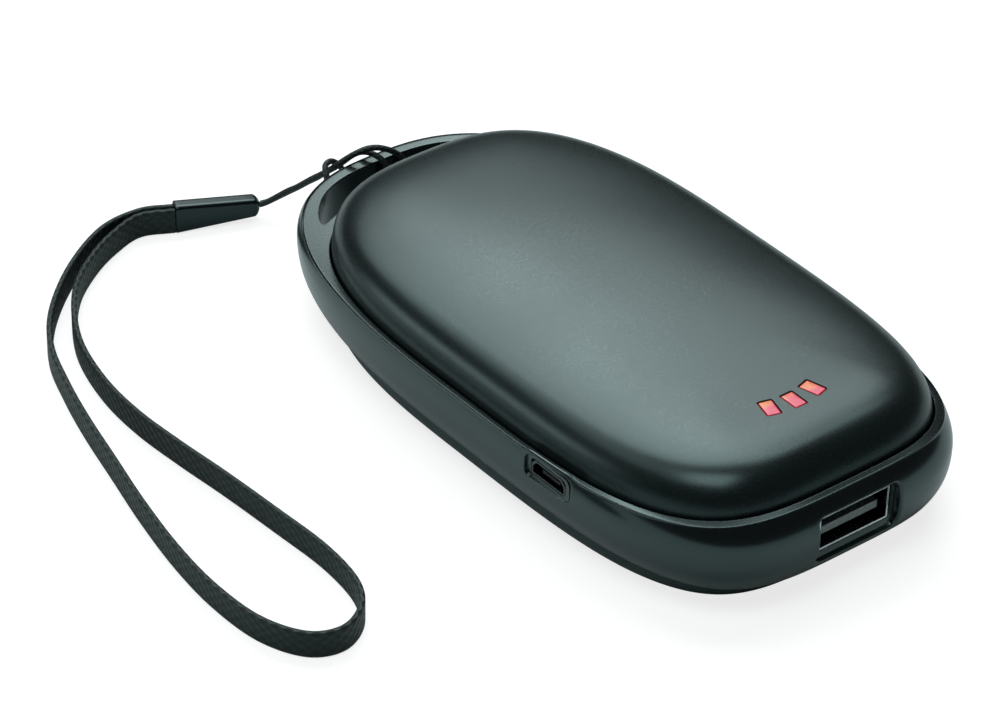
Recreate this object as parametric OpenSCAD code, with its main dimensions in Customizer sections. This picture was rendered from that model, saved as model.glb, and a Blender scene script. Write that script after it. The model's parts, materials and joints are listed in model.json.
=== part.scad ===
/* [Body] */
// Overall width, at the frame's widest line
body_w = 60.6; // [57:0.2:66]
// Overall length, at the frame's widest line
body_l = 114; // [110:1:122]
// Fullness of the outline's front corners
front_power = 3.8; // [3.2:0.1:4.4]
// Fullness of the outline's corners at the lanyard end
rear_power = 2.6; // [2.4:0.1:3]
// Height of the seam between frame and bottom cover
seam_z = 4.7; // [4.4:0.1:5.2]
// Height of the frame above that seam, along the sides
frame_h = 9.1; // [8.8:0.1:10]

/* [Frame] */
// How far the frame's widest line lies below its rim
waist_drop = 2.9; // [2.4:0.1:3.4]
// How far the frame draws in from its widest line down to the seam
seam_inset = 1.55; // [1.2:0.05:1.8]
// How far the frame draws in up to its rim, along the sides
rim_inset = 0.2; // [0.1:0.05:0.3]
// Extra draw of the rim at the front end
front_lean = 1.9; // [1.5:0.1:2.2]
// Extra draw of the rim at the lanyard end
rear_lean = 0.7; // [0.5:0.1:0.9]
// How much higher the rim stands at the front end
front_rise = 2.3; // [1.8:0.1:2.6]
// How much lower the rim stands at the lanyard end
rear_drop = 1; // [0.8:0.1:1.2]
// Width of the thin ridge along the frame's rim
ridge_w = 0.15; // [0.1:0.05:0.2]
// Groove between that ridge and the trim
groove_w = 0.15; // [0.1:0.05:0.2]
// Height of the trim bead above the shelf it sits on
trim_h = 0.6; // [0.5:0.05:0.7]
// Width of the trim bead along the sides
trim_w = 0.9; // [0.8:0.05:1]
// Width of the ledge inside the frame that carries the chassis
ledge_w = 2.8; // [2.4:0.1:3]
// Thickness of that ledge
ledge_t = 1.2; // [1:0.1:1.4]

/* [Covers] */
// Wall of both covers
cover_wall = 1.2; // [1:0.1:1.3]
// Gap between a cover and the parts round it
cover_gap = 0.3; // [0.2:0.05:0.4]
// Room at the lanyard end, from the covers' rear edge to the frame's widest line
lanyard_room = 10.7; // [10.4:0.1:11.4]
// Fullness of the covers' rear corners
cover_rear_power = 2.85; // [2.6:0.05:3]
// Width of the rounded shoulder of a cover
shoulder_w = 6; // [5.8:0.1:6.8]
// Height of the top cover's shoulder
shoulder_h = 5.6; // [5.2:0.1:6.2]
// Roundness of the shoulders
shoulder_power = 2.7; // [2.4:0.1:3]
// Rise of the top cover's crown above its shoulder
crown_h = 3; // [2.6:0.1:3.6]
// Extra height of the top cover at the front end
front_lift = 0.9; // [0.5:0.1:1.2]
// Depth that the top cover's skirt reaches below the rim's lowest part
skirt_depth = 0.8; // [0.75:0.05:0.9]
// Height of the bottom cover's tongue inside the frame
tongue_h = 1; // [0.6:0.1:1.2]

/* [Lanyard slot] */
// Width of the bar between slot and rim
bar_w = 2; // [1.8:0.1:2.2]
// Land between slot and covers
slot_land = 1.6; // [1.4:0.1:1.8]
// Half of the angle that the slot sweeps round the lanyard end
slot_half_angle = 35; // [32:1:36]

/* [Output socket] */
// Width of the socket's opening
usb_w = 12.5; // [12.4:0.05:12.6]
// Height of the socket's opening
usb_h = 5.12; // [5.05:0.01:5.2]
// Sheet thickness of both socket shells
shell_t = 0.3; // [0.2:0.05:0.35]
// Length of the socket
usb_l = 14; // [13:0.5:16]
// Depth of the socket's mouth below the frame's widest line
usb_depth = 1.7; // [1.5:0.1:2]
// Width of the rebate round the socket's mouth
usb_rebate = 0.85; // [0.6:0.05:1]
// How far that rebate sits below the middle of the socket
usb_rebate_drop = 0.4; // [0:0.1:0.5]
// Height of the middle of the socket
usb_z = 10.2; // [10.1:0.05:10.3]
// Thickness of the socket's tongue
usb_tongue_t = 1.3; // [1.2:0.05:1.9]
// Width of the socket's tongue
usb_tongue_w = 11.1; // [11:0.05:11.2]

/* [Charging socket] */
// Distance of the charging socket from the middle, towards the front
micro_y = 24.2; // [23:0.2:26]
// Width of the charging socket's shell
micro_w = 7.4; // [7.2:0.1:7.6]
// Height of the charging socket's shell
micro_h = 2.5; // [2.4:0.05:2.6]
// Length of the charging socket
micro_l = 5.6; // [5.2:0.1:6]
// Depth of the charging socket's mouth
micro_depth = 0.7; // [0.6:0.05:1]
// Gap round the charging socket in the frame's opening
micro_rebate = 0.7; // [0.5:0.05:0.75]
// Rise of the rim above the charging socket
port_rise = 0.6; // [0.3:0.05:0.7]

/* [Indicator windows] */
// Width of each window
window_w = 2.35; // [2:0.05:2.6]
// Length of each window
window_l = 3.5; // [3:0.1:4]
// Radius on which the windows lie
window_fan_r = 15; // [14:0.5:17]
// Angle between neighbouring windows
window_fan_step = 15.5; // [14.5:0.5:17]
// Sideways place of the middle window
window_x = 0.6; // [0:0.1:1]
// Distance of the middle window from the top cover's front edge
window_in = 12.4; // [11.8:0.1:13.6]
// Gap between a window's edge and its prong
window_gap = 0.1; // [0.06:0.02:0.14]

/* [Power button] */
// Length of the button's face
button_l = 9; // [7:0.5:10]
// Height of the button's face
button_h = 2.4; // [2.2:0.1:2.6]
// How far the button stands proud of the frame
button_proud = 0.5; // [0.4:0.05:0.6]
// Travel of the button
button_travel = 0.4; // [0.3:0.05:0.45]
// Distance of the button from the middle, towards the front
button_y = 22; // [20:0.5:24]
// Running gap round the button
button_gap = 0.2; // [0.15:0.05:0.25]

/* [Board and cell] */
// Thickness of the main board
board_t = 1; // [0.8:0.1:1.2]
// Gap between the board's underside and the output socket
board_gap = 0.3; // [0.2:0.05:0.4]
// Distance from the middle to the board's rear edge
board_rear = 13; // [12.6:0.2:14]
// Width of the battery cell
cell_w = 37; // [35:0.5:39]
// Length of the battery cell
cell_l = 42; // [38:0.5:43]
// Thickness of the battery cell
cell_t = 11.6; // [10:0.2:12]
// Thickness of the foam pads under the cell
pad_t = 0.6; // [0.5:0.05:0.8]
// Thickness of the heating films
film_t = 0.3; // [0.2:0.05:0.35]
// Thickness of the chassis plate
chassis_t = 1.2; // [1:0.1:1.3]

/* [Lanyard] */
// Diameter of the thin cord
cord_d = 0.95; // [0.8:0.05:1]
// Width of the flat strap
strap_w = 4.4; // [4:0.1:4.5]
// Thickness of the flat strap
strap_t = 1.1; // [0.9:0.05:1.2]
// Length of the ferrule
ferrule_l = 13.6; // [12:0.2:14]
// Height of the ferrule at its open end
ferrule_h = 5; // [4.9:0.05:5.1]

/* [Hidden] */

around = 120;
coarse = 60;
cut = 0.5;
touch = 0.02;

half_w = body_w / 2;
half_l = body_l / 2;
rim_z = seam_z + frame_h;
waist_z = rim_z - waist_drop;
skirt_z = rim_z - rear_drop - skirt_depth;
trim_in = rim_inset + ridge_w + groove_w;
cover_inset = trim_in + trim_w + cover_gap;
cover_front_l = half_l - cover_inset - front_lean;
cover_rear_l = half_l - lanyard_room;
cover_half_w = half_w - cover_inset;
window_y = cover_front_l - window_in;
top_z = rim_z + shoulder_h + crown_h;

function sign_of(v) = v < 0 ? -1 : 1;
function norm_power(a, n) = pow(pow(abs(cos(a)), n) + pow(abs(sin(a)), n), 1 / n);

// A point of an outline whose front and rear halves are two superellipses,
// moved inwards along the outline's normal by inset
function egg(a, half_w, front_l, rear_l, front_n, rear_n, inset) =
    let (front = sin(a) < 0,
         n = front ? front_n : rear_n,
         l = front ? front_l : rear_l,
         x = half_w * cos(a) / norm_power(a, n),
         y = l * sin(a) / norm_power(a, n),
         gx = sign_of(x) * pow(abs(x) / half_w, n - 1) / half_w,
         gy = sign_of(y) * pow(abs(y) / l, n - 1) / l,
         g = norm([gx, gy]))
    [x - inset * gx / g, y - inset * gy / g];

function body_at(a, inset) =
    egg(a, half_w, half_l, half_l, front_power, rear_power, inset);
function cover_at(a, inset) =
    egg(a, cover_half_w, cover_front_l, cover_rear_l, front_power, cover_rear_power, inset);

// How near a point of the outline is to the front end or to the lanyard end, from 0 to 1
function front_share(a) =
    sin(a) < 0 ? pow(abs(sin(a)) / norm_power(a, front_power), front_power) : 0;
function rear_share(a) =
    sin(a) > 0 ? pow(abs(sin(a)) / norm_power(a, rear_power), rear_power) : 0;

// The rim swells up over the charging socket, with a cosine ramp at each side
ramp_l = 1.8;
bump_half = (micro_w + micro_rebate) / 2;
function ramp(d) =
    d < bump_half ? 1 : d > bump_half + ramp_l ? 0 : (1 + cos(180 * (d - bump_half) / ramp_l)) / 2;
function port_bump(a) = cos(a) < 0 ? port_rise * ramp(abs(body_at(a, 0).y + micro_y)) : 0;

function rim_at(a) = rim_z + front_rise * front_share(a) - rear_drop * rear_share(a) + port_bump(a);
function rim_draw(a) = rim_inset + front_lean * front_share(a) + rear_lean * rear_share(a);

function angles(steps) = [for (i = [0:steps - 1]) 360 * i / steps];
function lift(p, z) = [p.x, p.y, z];

// A closed surface through a list of loops, with a fan to an end point at each end
module skin(loops, first, last) {
    m = len(loops[0]);
    n = len(loops);
    points = concat([first], [for (loop = loops) for (p = loop) p], [last]);
    end = len(points) - 1;
    faces = concat(
        [for (i = [0:m - 1]) [0, 1 + (i + 1) % m, 1 + i]],
        [for (k = [0:n - 2]) for (i = [0:m - 1]) let (j = (i + 1) % m)
            [1 + k * m + i, 1 + k * m + j, 1 + (k + 1) * m + i]],
        [for (k = [0:n - 2]) for (i = [0:m - 1]) let (j = (i + 1) % m)
            [1 + k * m + j, 1 + (k + 1) * m + j, 1 + (k + 1) * m + i]],
        [for (i = [0:m - 1]) [end, 1 + (n - 1) * m + i, 1 + (n - 1) * m + (i + 1) % m]]);
    polyhedron(points, faces);
}

// A closed ring surface through a list of loops, the last joined to the first
module ring_skin(loops) {
    m = len(loops[0]);
    n = len(loops);
    points = [for (loop = loops) for (p = loop) p];
    faces = concat(
        [for (k = [0:n - 1]) for (i = [0:m - 1]) let (j = (i + 1) % m, q = (k + 1) % n)
            [k * m + i, q * m + i, k * m + j]],
        [for (k = [0:n - 1]) for (i = [0:m - 1]) let (j = (i + 1) % m, q = (k + 1) % n)
            [k * m + j, q * m + i, q * m + j]]);
    polyhedron(points, faces);
}

function outline(steps, inset) = [for (a = angles(steps)) cover_at(a, inset)];

module rounded_bar(w, l, r) {
    union() {
        square([w - 2 * r, l], center = true);
        square([w, l - 2 * r], center = true);
        for (sx = [-1, 1], sy = [-1, 1])
            translate([sx * (w / 2 - r), sy * (l / 2 - r)]) circle(r, $fn = 24);
    }
}

// Shoulder of a cover: a quarter superellipse from its edge (s = 0) to its top (s = 1)
function shoulder_in(s) = 1 - cos(90 * s) / norm_power(90 * s, shoulder_power);
function shoulder_up(s) = sin(90 * s) / norm_power(90 * s, shoulder_power);
function crown_at(share) = crown_h * (1 - pow(1 - share, 2));
edge_share = shoulder_w / cover_half_w;
pocket_gap = 0.1;

// Top cover, wall below its outer face: a loop on the shoulder and a loop on the crown
function top_shoulder(s, wall, steps) =
    [for (a = angles(steps))
        let (in = wall + (shoulder_w - wall) * shoulder_in(s))
        lift(cover_at(a, in), rim_z + (shoulder_h - wall) * shoulder_up(s)
             + crown_at(in / cover_half_w) + front_lift * front_share(a) * shoulder_in(s))];
function crown_point(a, r, wall) =
    lift(r * cover_at(a, shoulder_w), rim_z + shoulder_h - wall
         + crown_at(1 - r * (1 - edge_share)) + front_lift * front_share(a) * r);
function top_crown(r, wall, steps) = [for (a = angles(steps)) crown_point(a, r, wall)];
function skirt_edge(wall, steps) =
    [for (a = angles(steps)) lift(cover_at(a, wall), skirt_z)];

shoulder_steps = 8;
crown_shares = [0.8, 0.6, 0.4, 0.2];

module window_places() {
    translate([window_x, window_fan_r - window_y])
        for (k = [-1:1])
            rotate(k * window_fan_step) translate([0, -window_fan_r]) children();
}

module top_cover() {
    color([0.16, 0.18, 0.18])
    difference() {
        skin(concat(
                [for (i = [len(crown_shares) - 1:-1:0]) top_crown(crown_shares[i], 0, around)],
                [for (i = [shoulder_steps:-1:0]) top_shoulder(i / shoulder_steps, 0, around)],
                [skirt_edge(0, around), skirt_edge(cover_wall, around)],
                [for (i = [0:2:shoulder_steps]) top_shoulder(i / shoulder_steps, cover_wall, around)],
                [for (r = crown_shares) top_crown(r, cover_wall, around)]),
            [0, 0, top_z], [0, 0, top_z - cover_wall]);
        translate([0, 0, rim_z + shoulder_h / 2])
            linear_extrude(top_z - rim_z)
                window_places() square([window_w, window_l], center = true);
        usb_opening();
        micro_opening();
    }
}

// Share of the way from the middle to the crown's edge, and the height just under the top film
film_gap = 0.05;
function crown_share(x, y) =
    let (l = (y < 0 ? cover_front_l : cover_rear_l) - shoulder_w,
         n = y < 0 ? front_power : cover_rear_power)
    pow(pow(abs(x) / (cover_half_w - shoulder_w), n) + pow(abs(y) / l, n), 1 / n);
function film_under(x, y) =
    rim_z + shoulder_h - cover_wall - film_gap - film_t - pocket_gap
    + crown_at(1 - crown_share(x, y) * (1 - edge_share));

// The bottom cover turns the same shoulder down to its flat foot
foot_z = cover_wall;
bottom_draw = 0.25;
tongue_t = 0.5;
tongue_in = bottom_draw + cover_wall - tongue_t;
function bottom_shoulder(s, wall, steps) =
    [for (a = angles(steps))
        lift(cover_at(a, bottom_draw + wall + (shoulder_w - wall) * shoulder_in(s)),
             seam_z - (seam_z - wall) * shoulder_up(s))];
function cover_loop(inset, z, steps) = [for (a = angles(steps)) lift(cover_at(a, inset), z)];

module bottom_cover() {
    color([0.2, 0.22, 0.22])
    skin(concat(
            [for (i = [0:2:shoulder_steps]) bottom_shoulder(1 - i / shoulder_steps, cover_wall, around)],
            [cover_loop(bottom_draw + cover_wall, seam_z + tongue_h, around),
             cover_loop(tongue_in, seam_z + tongue_h, around),
             cover_loop(tongue_in, seam_z - touch, around),
             cover_loop(bottom_draw, seam_z - touch, around)],
            [for (i = [1:shoulder_steps]) bottom_shoulder(i / shoulder_steps, 0, around)]),
        [0, 0, foot_z], [0, 0, 0]);
}

// Frame: outer wall in two curves that meet at the waist
function low_wall(f) =
    [for (a = angles(around))
        lift(body_at(a, seam_inset * pow(1 - f, 2.5)), seam_z + f * (waist_z - seam_z))];
function high_wall(f) =
    [for (a = angles(around))
        lift(body_at(a, rim_draw(a) * f * f), waist_z + f * (rim_at(a) - waist_z))];
function rim_loop(inset, drop) =
    [for (a = angles(around)) lift(body_at(a, rim_draw(a) + inset), rim_at(a) - drop)];
wall_steps = 4;
inner_wall_in = cover_wall + cover_gap;
tongue_pocket = tongue_in - cover_gap;
ledge_z = seam_z + tongue_h + 2 * pocket_gap;

// Lanyard slot: a crescent between the bar and the covers' rear edge, with round ends
slot_steps = 24;
function slot_outer(a) = body_at(a, rim_draw(a) + bar_w);
function slot_inner(a) = cover_at(a, -slot_land);
function slot_swell(s) = pow(1 - pow(abs(s), 8), 0.5);
function slot_side(s, side) =
    let (a = 90 - s * slot_half_angle, o = slot_outer(a), i = slot_inner(a))
    (o + i) / 2 + side * slot_swell(s) * (o - i) / 2;
slot_points = concat(
    [for (k = [0:slot_steps]) slot_side(-1 + 2 * k / slot_steps, 1)],
    [for (k = [1:slot_steps - 1]) slot_side(1 - 2 * k / slot_steps, -1)]);

module lanyard_slot() {
    translate([0, 0, seam_z - cut])
        linear_extrude(frame_h + front_rise + 2 * cut) polygon(slot_points);
}

socket_gap = 0.15;
usb_outer_w = usb_w + 2 * shell_t;
usb_outer_h = usb_h + 2 * shell_t;
usb_mouth_y = usb_depth - half_l;
micro_mouth_x = micro_depth - half_w;
board_z = usb_z + usb_outer_h / 2 + board_gap;
micro_z = board_z - board_gap - micro_h / 2;
switch_h = 6;
button_z = board_z - switch_h / 2;

module frame_ring() {
    color([0.1, 0.12, 0.12])
    difference() {
        union() {
            ring_skin(concat(
                [for (k = [0:wall_steps]) low_wall(k / wall_steps)],
                [for (k = [1:wall_steps]) high_wall(k / wall_steps)],
                [rim_loop(ridge_w, 0), rim_loop(ridge_w, trim_h),
                 rim_loop(ridge_w + groove_w, trim_h)],
                [[for (a = angles(around)) lift(cover_at(a, -cover_gap), rim_at(a) - trim_h)],
                 cover_loop(-cover_gap, skirt_z - pocket_gap, around),
                 cover_loop(inner_wall_in, skirt_z - pocket_gap, around),
                 cover_loop(inner_wall_in, seam_z + tongue_h + pocket_gap, around),
                 cover_loop(tongue_pocket, seam_z + tongue_h + pocket_gap, around),
                 cover_loop(tongue_pocket, seam_z, around)]));
            translate([0, 0, ledge_z])
                linear_extrude(ledge_t) difference() {
                    polygon(outline(around, inner_wall_in - cut));
                    polygon(outline(around, inner_wall_in + ledge_w));
                }
        }
        lanyard_slot();
        usb_opening();
        micro_opening();
        button_opening();
    }
}

module usb_opening() {
    translate([0, -half_l - cut, usb_z]) rotate([-90, 0, 0]) {
        linear_extrude(half_l - cover_front_l + ledge_w + cover_wall + 2 * cut)
            square([usb_outer_w + 2 * socket_gap, usb_outer_h + 2 * socket_gap], center = true);
        translate([0, usb_rebate_drop, 0]) linear_extrude(usb_depth + cut)
            rounded_bar(usb_outer_w + 2 * usb_rebate, usb_outer_h + 2 * usb_rebate, usb_rebate);
    }
}

module micro_opening() {
    translate([-half_w - cut, -micro_y, micro_z]) rotate([0, 90, 0]) {
        linear_extrude(cover_inset + inner_wall_in + ledge_w + 2 * cut)
            square([micro_h + 2 * socket_gap, micro_w + 2 * socket_gap], center = true);
        linear_extrude(micro_depth + cut)
            rounded_bar(micro_h + 2 * micro_rebate, micro_w + 3 * micro_rebate, 1.5 * micro_rebate);
    }
}

module button_opening() {
    translate([half_w - cover_inset - inner_wall_in - ledge_w - cut, -button_y, button_z])
        rotate([0, 90, 0])
            linear_extrude(cover_inset + inner_wall_in + ledge_w + 3 * cut)
                rounded_bar(button_h + 2 * button_gap, button_l + 2 * button_gap, button_h / 3);
}

// Trim: a bead along the rim that widens to a plate round the lanyard slot
module trim_ring() {
    color([0.24, 0.27, 0.27])
    difference() {
        ring_skin([
            rim_loop(ridge_w + groove_w, trim_h - touch),
            rim_loop(ridge_w + groove_w, 0),
            [for (a = angles(around)) lift(cover_at(a, -cover_gap), rim_at(a))],
            [for (a = angles(around)) lift(cover_at(a, -cover_gap), rim_at(a) - trim_h + touch)]]);
        lanyard_slot();
    }
}

// Light guide: three prongs on one bridge under the top cover
led_h = 0.8;
guide_gap = 0.25;
guide_z = board_z + board_t + led_h + guide_gap;
bridge_t = 1;
window_share = (window_y + window_l / 2) / (cover_front_l - shoulder_w);
window_top_z = crown_point(270, window_share, 0).z - window_gap;

module light_guide() {
    color([0.9, 0.25, 0.25])
    union() {
        translate([0, 0, guide_z]) linear_extrude(window_top_z - guide_z)
            window_places()
                square([window_w - 2 * window_gap, window_l - 2 * window_gap], center = true);
        translate([window_x, -window_y, guide_z + bridge_t])
            linear_extrude(bridge_t)
                square([2 * window_fan_r * sin(window_fan_step) + window_w, window_l / 2], center = true);
    }
}

led_w = 1.2;
module indicator_lights() {
    color([1, 0.6, 0.5])
    translate([0, 0, board_z + board_t]) linear_extrude(led_h)
        window_places() square([led_w, 2 * led_w], center = true);
}

// Output socket, mouth towards the front
module usb_a_shell() {
    color([0.75, 0.76, 0.78])
    translate([0, usb_mouth_y, usb_z]) rotate([-90, 0, 0])
        difference() {
            linear_extrude(usb_l) rounded_bar(usb_outer_w, usb_outer_h, shell_t);
            translate([0, 0, -cut])
                linear_extrude(usb_l + cut - usb_back_t) square([usb_w, usb_h], center = true);
        }
}
usb_back_t = 1;
tongue_air = 1.2;
tongue_set = 1.2;
tongue_l = usb_l - usb_back_t - tongue_set;
usb_tongue_z = usb_z - usb_h / 2 + tongue_air;
contact_t = 0.15;
contact_w = 1;
usb_pitch = 2.5;

module usb_a_tongue() {
    color([0.86, 0.87, 0.88])
    translate([-usb_tongue_w / 2, usb_mouth_y + tongue_set, usb_tongue_z])
        cube([usb_tongue_w, tongue_l, usb_tongue_t]);
}

module usb_a_contacts() {
    color([0.85, 0.7, 0.35])
    for (k = [-1.5:1.5])
        translate([k * usb_pitch - contact_w / 2, usb_mouth_y + 2 * tongue_set,
                   usb_tongue_z - contact_t])
            cube([contact_w, tongue_l - 2 * tongue_set, contact_t]);
}

// Charging socket, mouth towards the left side
micro_chamfer = 0.8;
module micro_profile(grow) {
    w = micro_w + 2 * grow;
    h = micro_h + 2 * grow;
    polygon([[h / 2, -w / 2], [h / 2, w / 2], [micro_chamfer - h / 2, w / 2],
             [-h / 2, w / 2 - micro_chamfer], [-h / 2, micro_chamfer - w / 2],
             [micro_chamfer - h / 2, -w / 2]]);
}

module micro_usb_shell() {
    color([0.72, 0.73, 0.75])
    translate([micro_mouth_x, -micro_y, micro_z]) rotate([0, 90, 0])
        difference() {
            linear_extrude(micro_l) micro_profile(0);
            translate([0, 0, -cut])
                linear_extrude(micro_l + cut - micro_back_t) micro_profile(-shell_t);
        }
}
micro_back_t = 0.6;
micro_tongue_t = 0.6;
micro_tongue_w = 3.9;
micro_tongue_l = micro_l - 2 * micro_back_t;
micro_tongue_z = micro_z - micro_h / 2 + 2 * shell_t;

module micro_usb_tongue() {
    color([0.15, 0.15, 0.16])
    translate([micro_mouth_x + micro_back_t, -micro_y - micro_tongue_w / 2, micro_tongue_z])
        cube([micro_tongue_l, micro_tongue_w, micro_tongue_t]);
}

micro_pitch = 0.65;
micro_contact_w = 0.3;
module micro_usb_contacts() {
    color([0.85, 0.7, 0.35])
    for (k = [-2:2])
        translate([micro_mouth_x + 2 * micro_back_t, k * micro_pitch - micro_y - micro_contact_w / 2,
                   micro_tongue_z + micro_tongue_t])
            cube([micro_tongue_l - micro_back_t, micro_contact_w, contact_t]);
}

// Power button, its plunger and the switch that it presses
function wall_x(w, l, y) = w * pow(1 - pow(y / l, front_power), 1 / front_power);
flange_t = 0.8;
flange_w = 0.8;
plunger_l = 1;
plunger_d = 1.6;
plunger_in = 0.5;
button_back_x = wall_x(cover_half_w, cover_front_l, button_y + button_l / 2 + flange_w)
    - inner_wall_in - flange_t - button_gap / 2;
button_face_x = wall_x(half_w, half_l, button_y) + button_proud;
switch_x = button_back_x - button_travel - plunger_l;
switch_l = 6;
switch_t = 2;

module power_button() {
    color([0.12, 0.13, 0.13])
    translate([0, -button_y, button_z]) rotate([0, 90, 0]) {
        translate([0, 0, button_back_x + flange_t])
            linear_extrude(button_face_x - button_back_x - flange_t)
                rounded_bar(button_h, button_l, button_h / 3);
        translate([0, 0, button_back_x])
            linear_extrude(flange_t) rounded_bar(button_h, button_l + 2 * flange_w, button_h / 3);
    }
}

module button_plunger() {
    color([0.8, 0.8, 0.78])
    translate([button_back_x - plunger_l - plunger_in, -button_y, button_z]) rotate([0, 90, 0])
        cylinder(d = plunger_d, h = plunger_l + plunger_in, $fn = 32);
}

module tact_switch() {
    color([0.15, 0.15, 0.16])
    difference() {
        translate([switch_x - switch_t, -button_y - switch_l / 2, board_z - switch_h])
            cube([switch_t, switch_l, switch_h]);
        translate([switch_x - plunger_in - button_travel - plunger_air, -button_y, button_z])
            rotate([0, 90, 0])
                cylinder(d = plunger_d + 2 * plunger_air,
                         h = plunger_in + button_travel + plunger_air + cut, $fn = 32);
    }
}
plunger_air = 0.1;

// Main board, above both sockets
board_in = cover_wall + cover_gap;
screw_d = 1.7;
screw_head_d = 3.2;
screw_head_t = 0.9;
screw_l = 4.5;
hole_gap = 0.2;
post_d = 4;
post_in = 13.3;
post_back = 19;
post_x = half_w - post_in;
post_front_y = half_l - post_back;
post_places = [[-post_x, -post_front_y], [post_x, -post_front_y],
               [-post_x, -board_rear - post_d], [post_x, -board_rear - post_d]];

module main_board() {
    color([0.1, 0.35, 0.2])
    difference() {
        translate([0, 0, board_z]) linear_extrude(board_t) intersection() {
            polygon(outline(around, board_in));
            translate([-half_w, -half_l]) square([body_w, half_l - board_rear]);
        }
        for (p = post_places)
            translate([p.x, p.y, board_z - cut])
                cylinder(d = screw_d + 2 * hole_gap, h = board_t + 2 * cut, $fn = 32);
    }
}

// The board's parts stand between the cell's solder pads and the indicator lights
lead_d = 0.9;
lead_pad_y = -board_rear - 3 * lead_d;
parts_share = 0.404;
parts_y = lead_pad_y - parts_share * (window_y + lead_pad_y);
ic_w = 5;
ic_t = 0.9;
module charge_controller() {
    color([0.12, 0.12, 0.13])
    translate([-ic_w / 2, parts_y - ic_w / 2, board_z + board_t]) cube([ic_w, ic_w, ic_t]);
}

inductor_w = 6.6;
inductor_t = 3;
inductor_x = 12;
module power_inductor() {
    color([0.3, 0.3, 0.31])
    translate([inductor_x, parts_y, board_z + board_t])
        linear_extrude(inductor_t) rounded_bar(inductor_w, inductor_w, inductor_w / 8);
}

cap_l = 2;
cap_w = 1.25;
cap_pitch = 3;
module capacitors() {
    color([0.75, 0.62, 0.42])
    for (k = [-1:2], side = [-1, 1])
        translate([k * cap_pitch - cap_l / 2, side * ic_w + parts_y - cap_w / 2, board_z + board_t])
            cube([cap_l, cap_w, cap_w]);
}

module board_screws() {
    color([0.6, 0.6, 0.62])
    for (p = post_places)
        translate([p.x, p.y, board_z + board_t])
            difference() {
                union() {
                    cylinder(d = screw_head_d, h = screw_head_t, $fn = 32);
                    translate([0, 0, -screw_l]) cylinder(d = screw_d, h = screw_l, $fn = 32);
                }
                translate([0, 0, screw_head_t / 2])
                    for (turn = [0, 90]) rotate(turn)
                        translate([-screw_d / 2, -slot_w / 2, 0]) cube([screw_d, slot_w, cut]);
            }
}
slot_w = 0.4;

// Chassis: a plate hung under the frame's ledge, with posts for the board and a fence round the cell
fence_t = 1;
fence_h = 2.6;
cell_gap = 0.3;
chassis_top = ledge_z - touch;
chassis_z = chassis_top - chassis_t;
chassis_in = bottom_draw + cover_wall + 2 * cover_gap;
cell_y = 2 * fence_t + 4 * cell_gap - board_rear;

module chassis() {
    color([0.25, 0.25, 0.27])
    difference() {
        union() {
            translate([0, 0, chassis_z])
                linear_extrude(chassis_t) polygon(outline(around, chassis_in));
            for (p = post_places)
                translate([p.x, p.y, chassis_z]) cylinder(d = post_d, h = board_z - chassis_z, $fn = 40);
            translate([0, 0, chassis_top - touch]) linear_extrude(fence_h) intersection() {
                polygon(outline(around, inner_wall_in + ledge_w + cover_gap));
                translate([0, cell_y + cell_l / 2]) difference() {
                    square([cell_w + 2 * cell_gap + 2 * fence_t,
                            cell_l + 2 * cell_gap + 2 * fence_t], center = true);
                    square([cell_w + 2 * cell_gap, cell_l + 2 * cell_gap], center = true);
                }
            }
        }
        for (p = post_places)
            translate([p.x, p.y, board_z - screw_l]) cylinder(d = screw_d, h = screw_l + cut, $fn = 32);
        for (side = [-1, 1])
            translate([side * floor_lead_x, lead_y, chassis_z - cut])
                cylinder(d = 3 * lead_d, h = chassis_t + 2 * cut, $fn = 32);
    }
}

cell_z = chassis_top + pad_t;
cell_round = 1.5;
module battery_cell() {
    color([0.75, 0.77, 0.8])
    translate([0, cell_y + cell_l / 2, cell_z + cell_t / 2]) rotate([90, 0, 0])
        translate([0, 0, -cell_l / 2]) linear_extrude(cell_l)
            rounded_bar(cell_w, cell_t, cell_round);
}

strip_w = 0.25 * cell_l;
module battery_pads() {
    color([0.5, 0.5, 0.52])
    for (f = foam_share)
        translate([-cell_w / 2, cell_y + f * cell_l - strip_w / 2, chassis_top])
            cube([cell_w, strip_w, pad_t]);
}

// Foam strips press both heating films against their covers
foam_w = cell_w / 2;
foam_share = [0.2, 0.6];
module heater_foam() {
    color([0.35, 0.35, 0.37])
    for (f = foam_share) {
        middle = cell_y + f * cell_l;
        translate([-foam_w / 2, middle - strip_w / 2, cell_z + cell_t])
            cube([foam_w, strip_w,
                  film_under(foam_w / 2, abs(middle) + strip_w / 2) - cell_z - cell_t]);
        translate([-foam_w / 2, middle - strip_w / 2, foot_z + film_t])
            cube([foam_w, strip_w, chassis_z - foot_z - film_t]);
    }
}

bms_t = 0.8;
bms_w = 0.7 * cell_w;
bms_h = 0.6 * cell_t;
module battery_board() {
    color([0.12, 0.3, 0.45])
    translate([-bms_w / 2, cell_y - bms_t, cell_z + (cell_t - bms_h) / 2])
        cube([bms_w, bms_t, bms_h]);
}

// Heating films: one on the bottom cover's floor, one under the top cover's crown
module bottom_heater() {
    color([0.75, 0.45, 0.2])
    translate([0, 0, foot_z]) linear_extrude(film_t)
        polygon(outline(coarse, shoulder_w + 2 * cover_wall));
}

thermistor_d = 1.2;
function film_crown(r, drop) = top_crown(r, cover_wall + film_gap + drop, coarse);
module top_heater() {
    color([0.75, 0.45, 0.2])
    skin(concat([for (r = [0.25:0.25:0.75]) film_crown(r, 0)],
                [for (r = [0.75:-0.25:0.25]) film_crown(r, film_t)]),
        [0, 0, top_z - cover_wall - film_gap], [0, 0, top_z - cover_wall - film_gap - film_t]);
}

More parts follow.
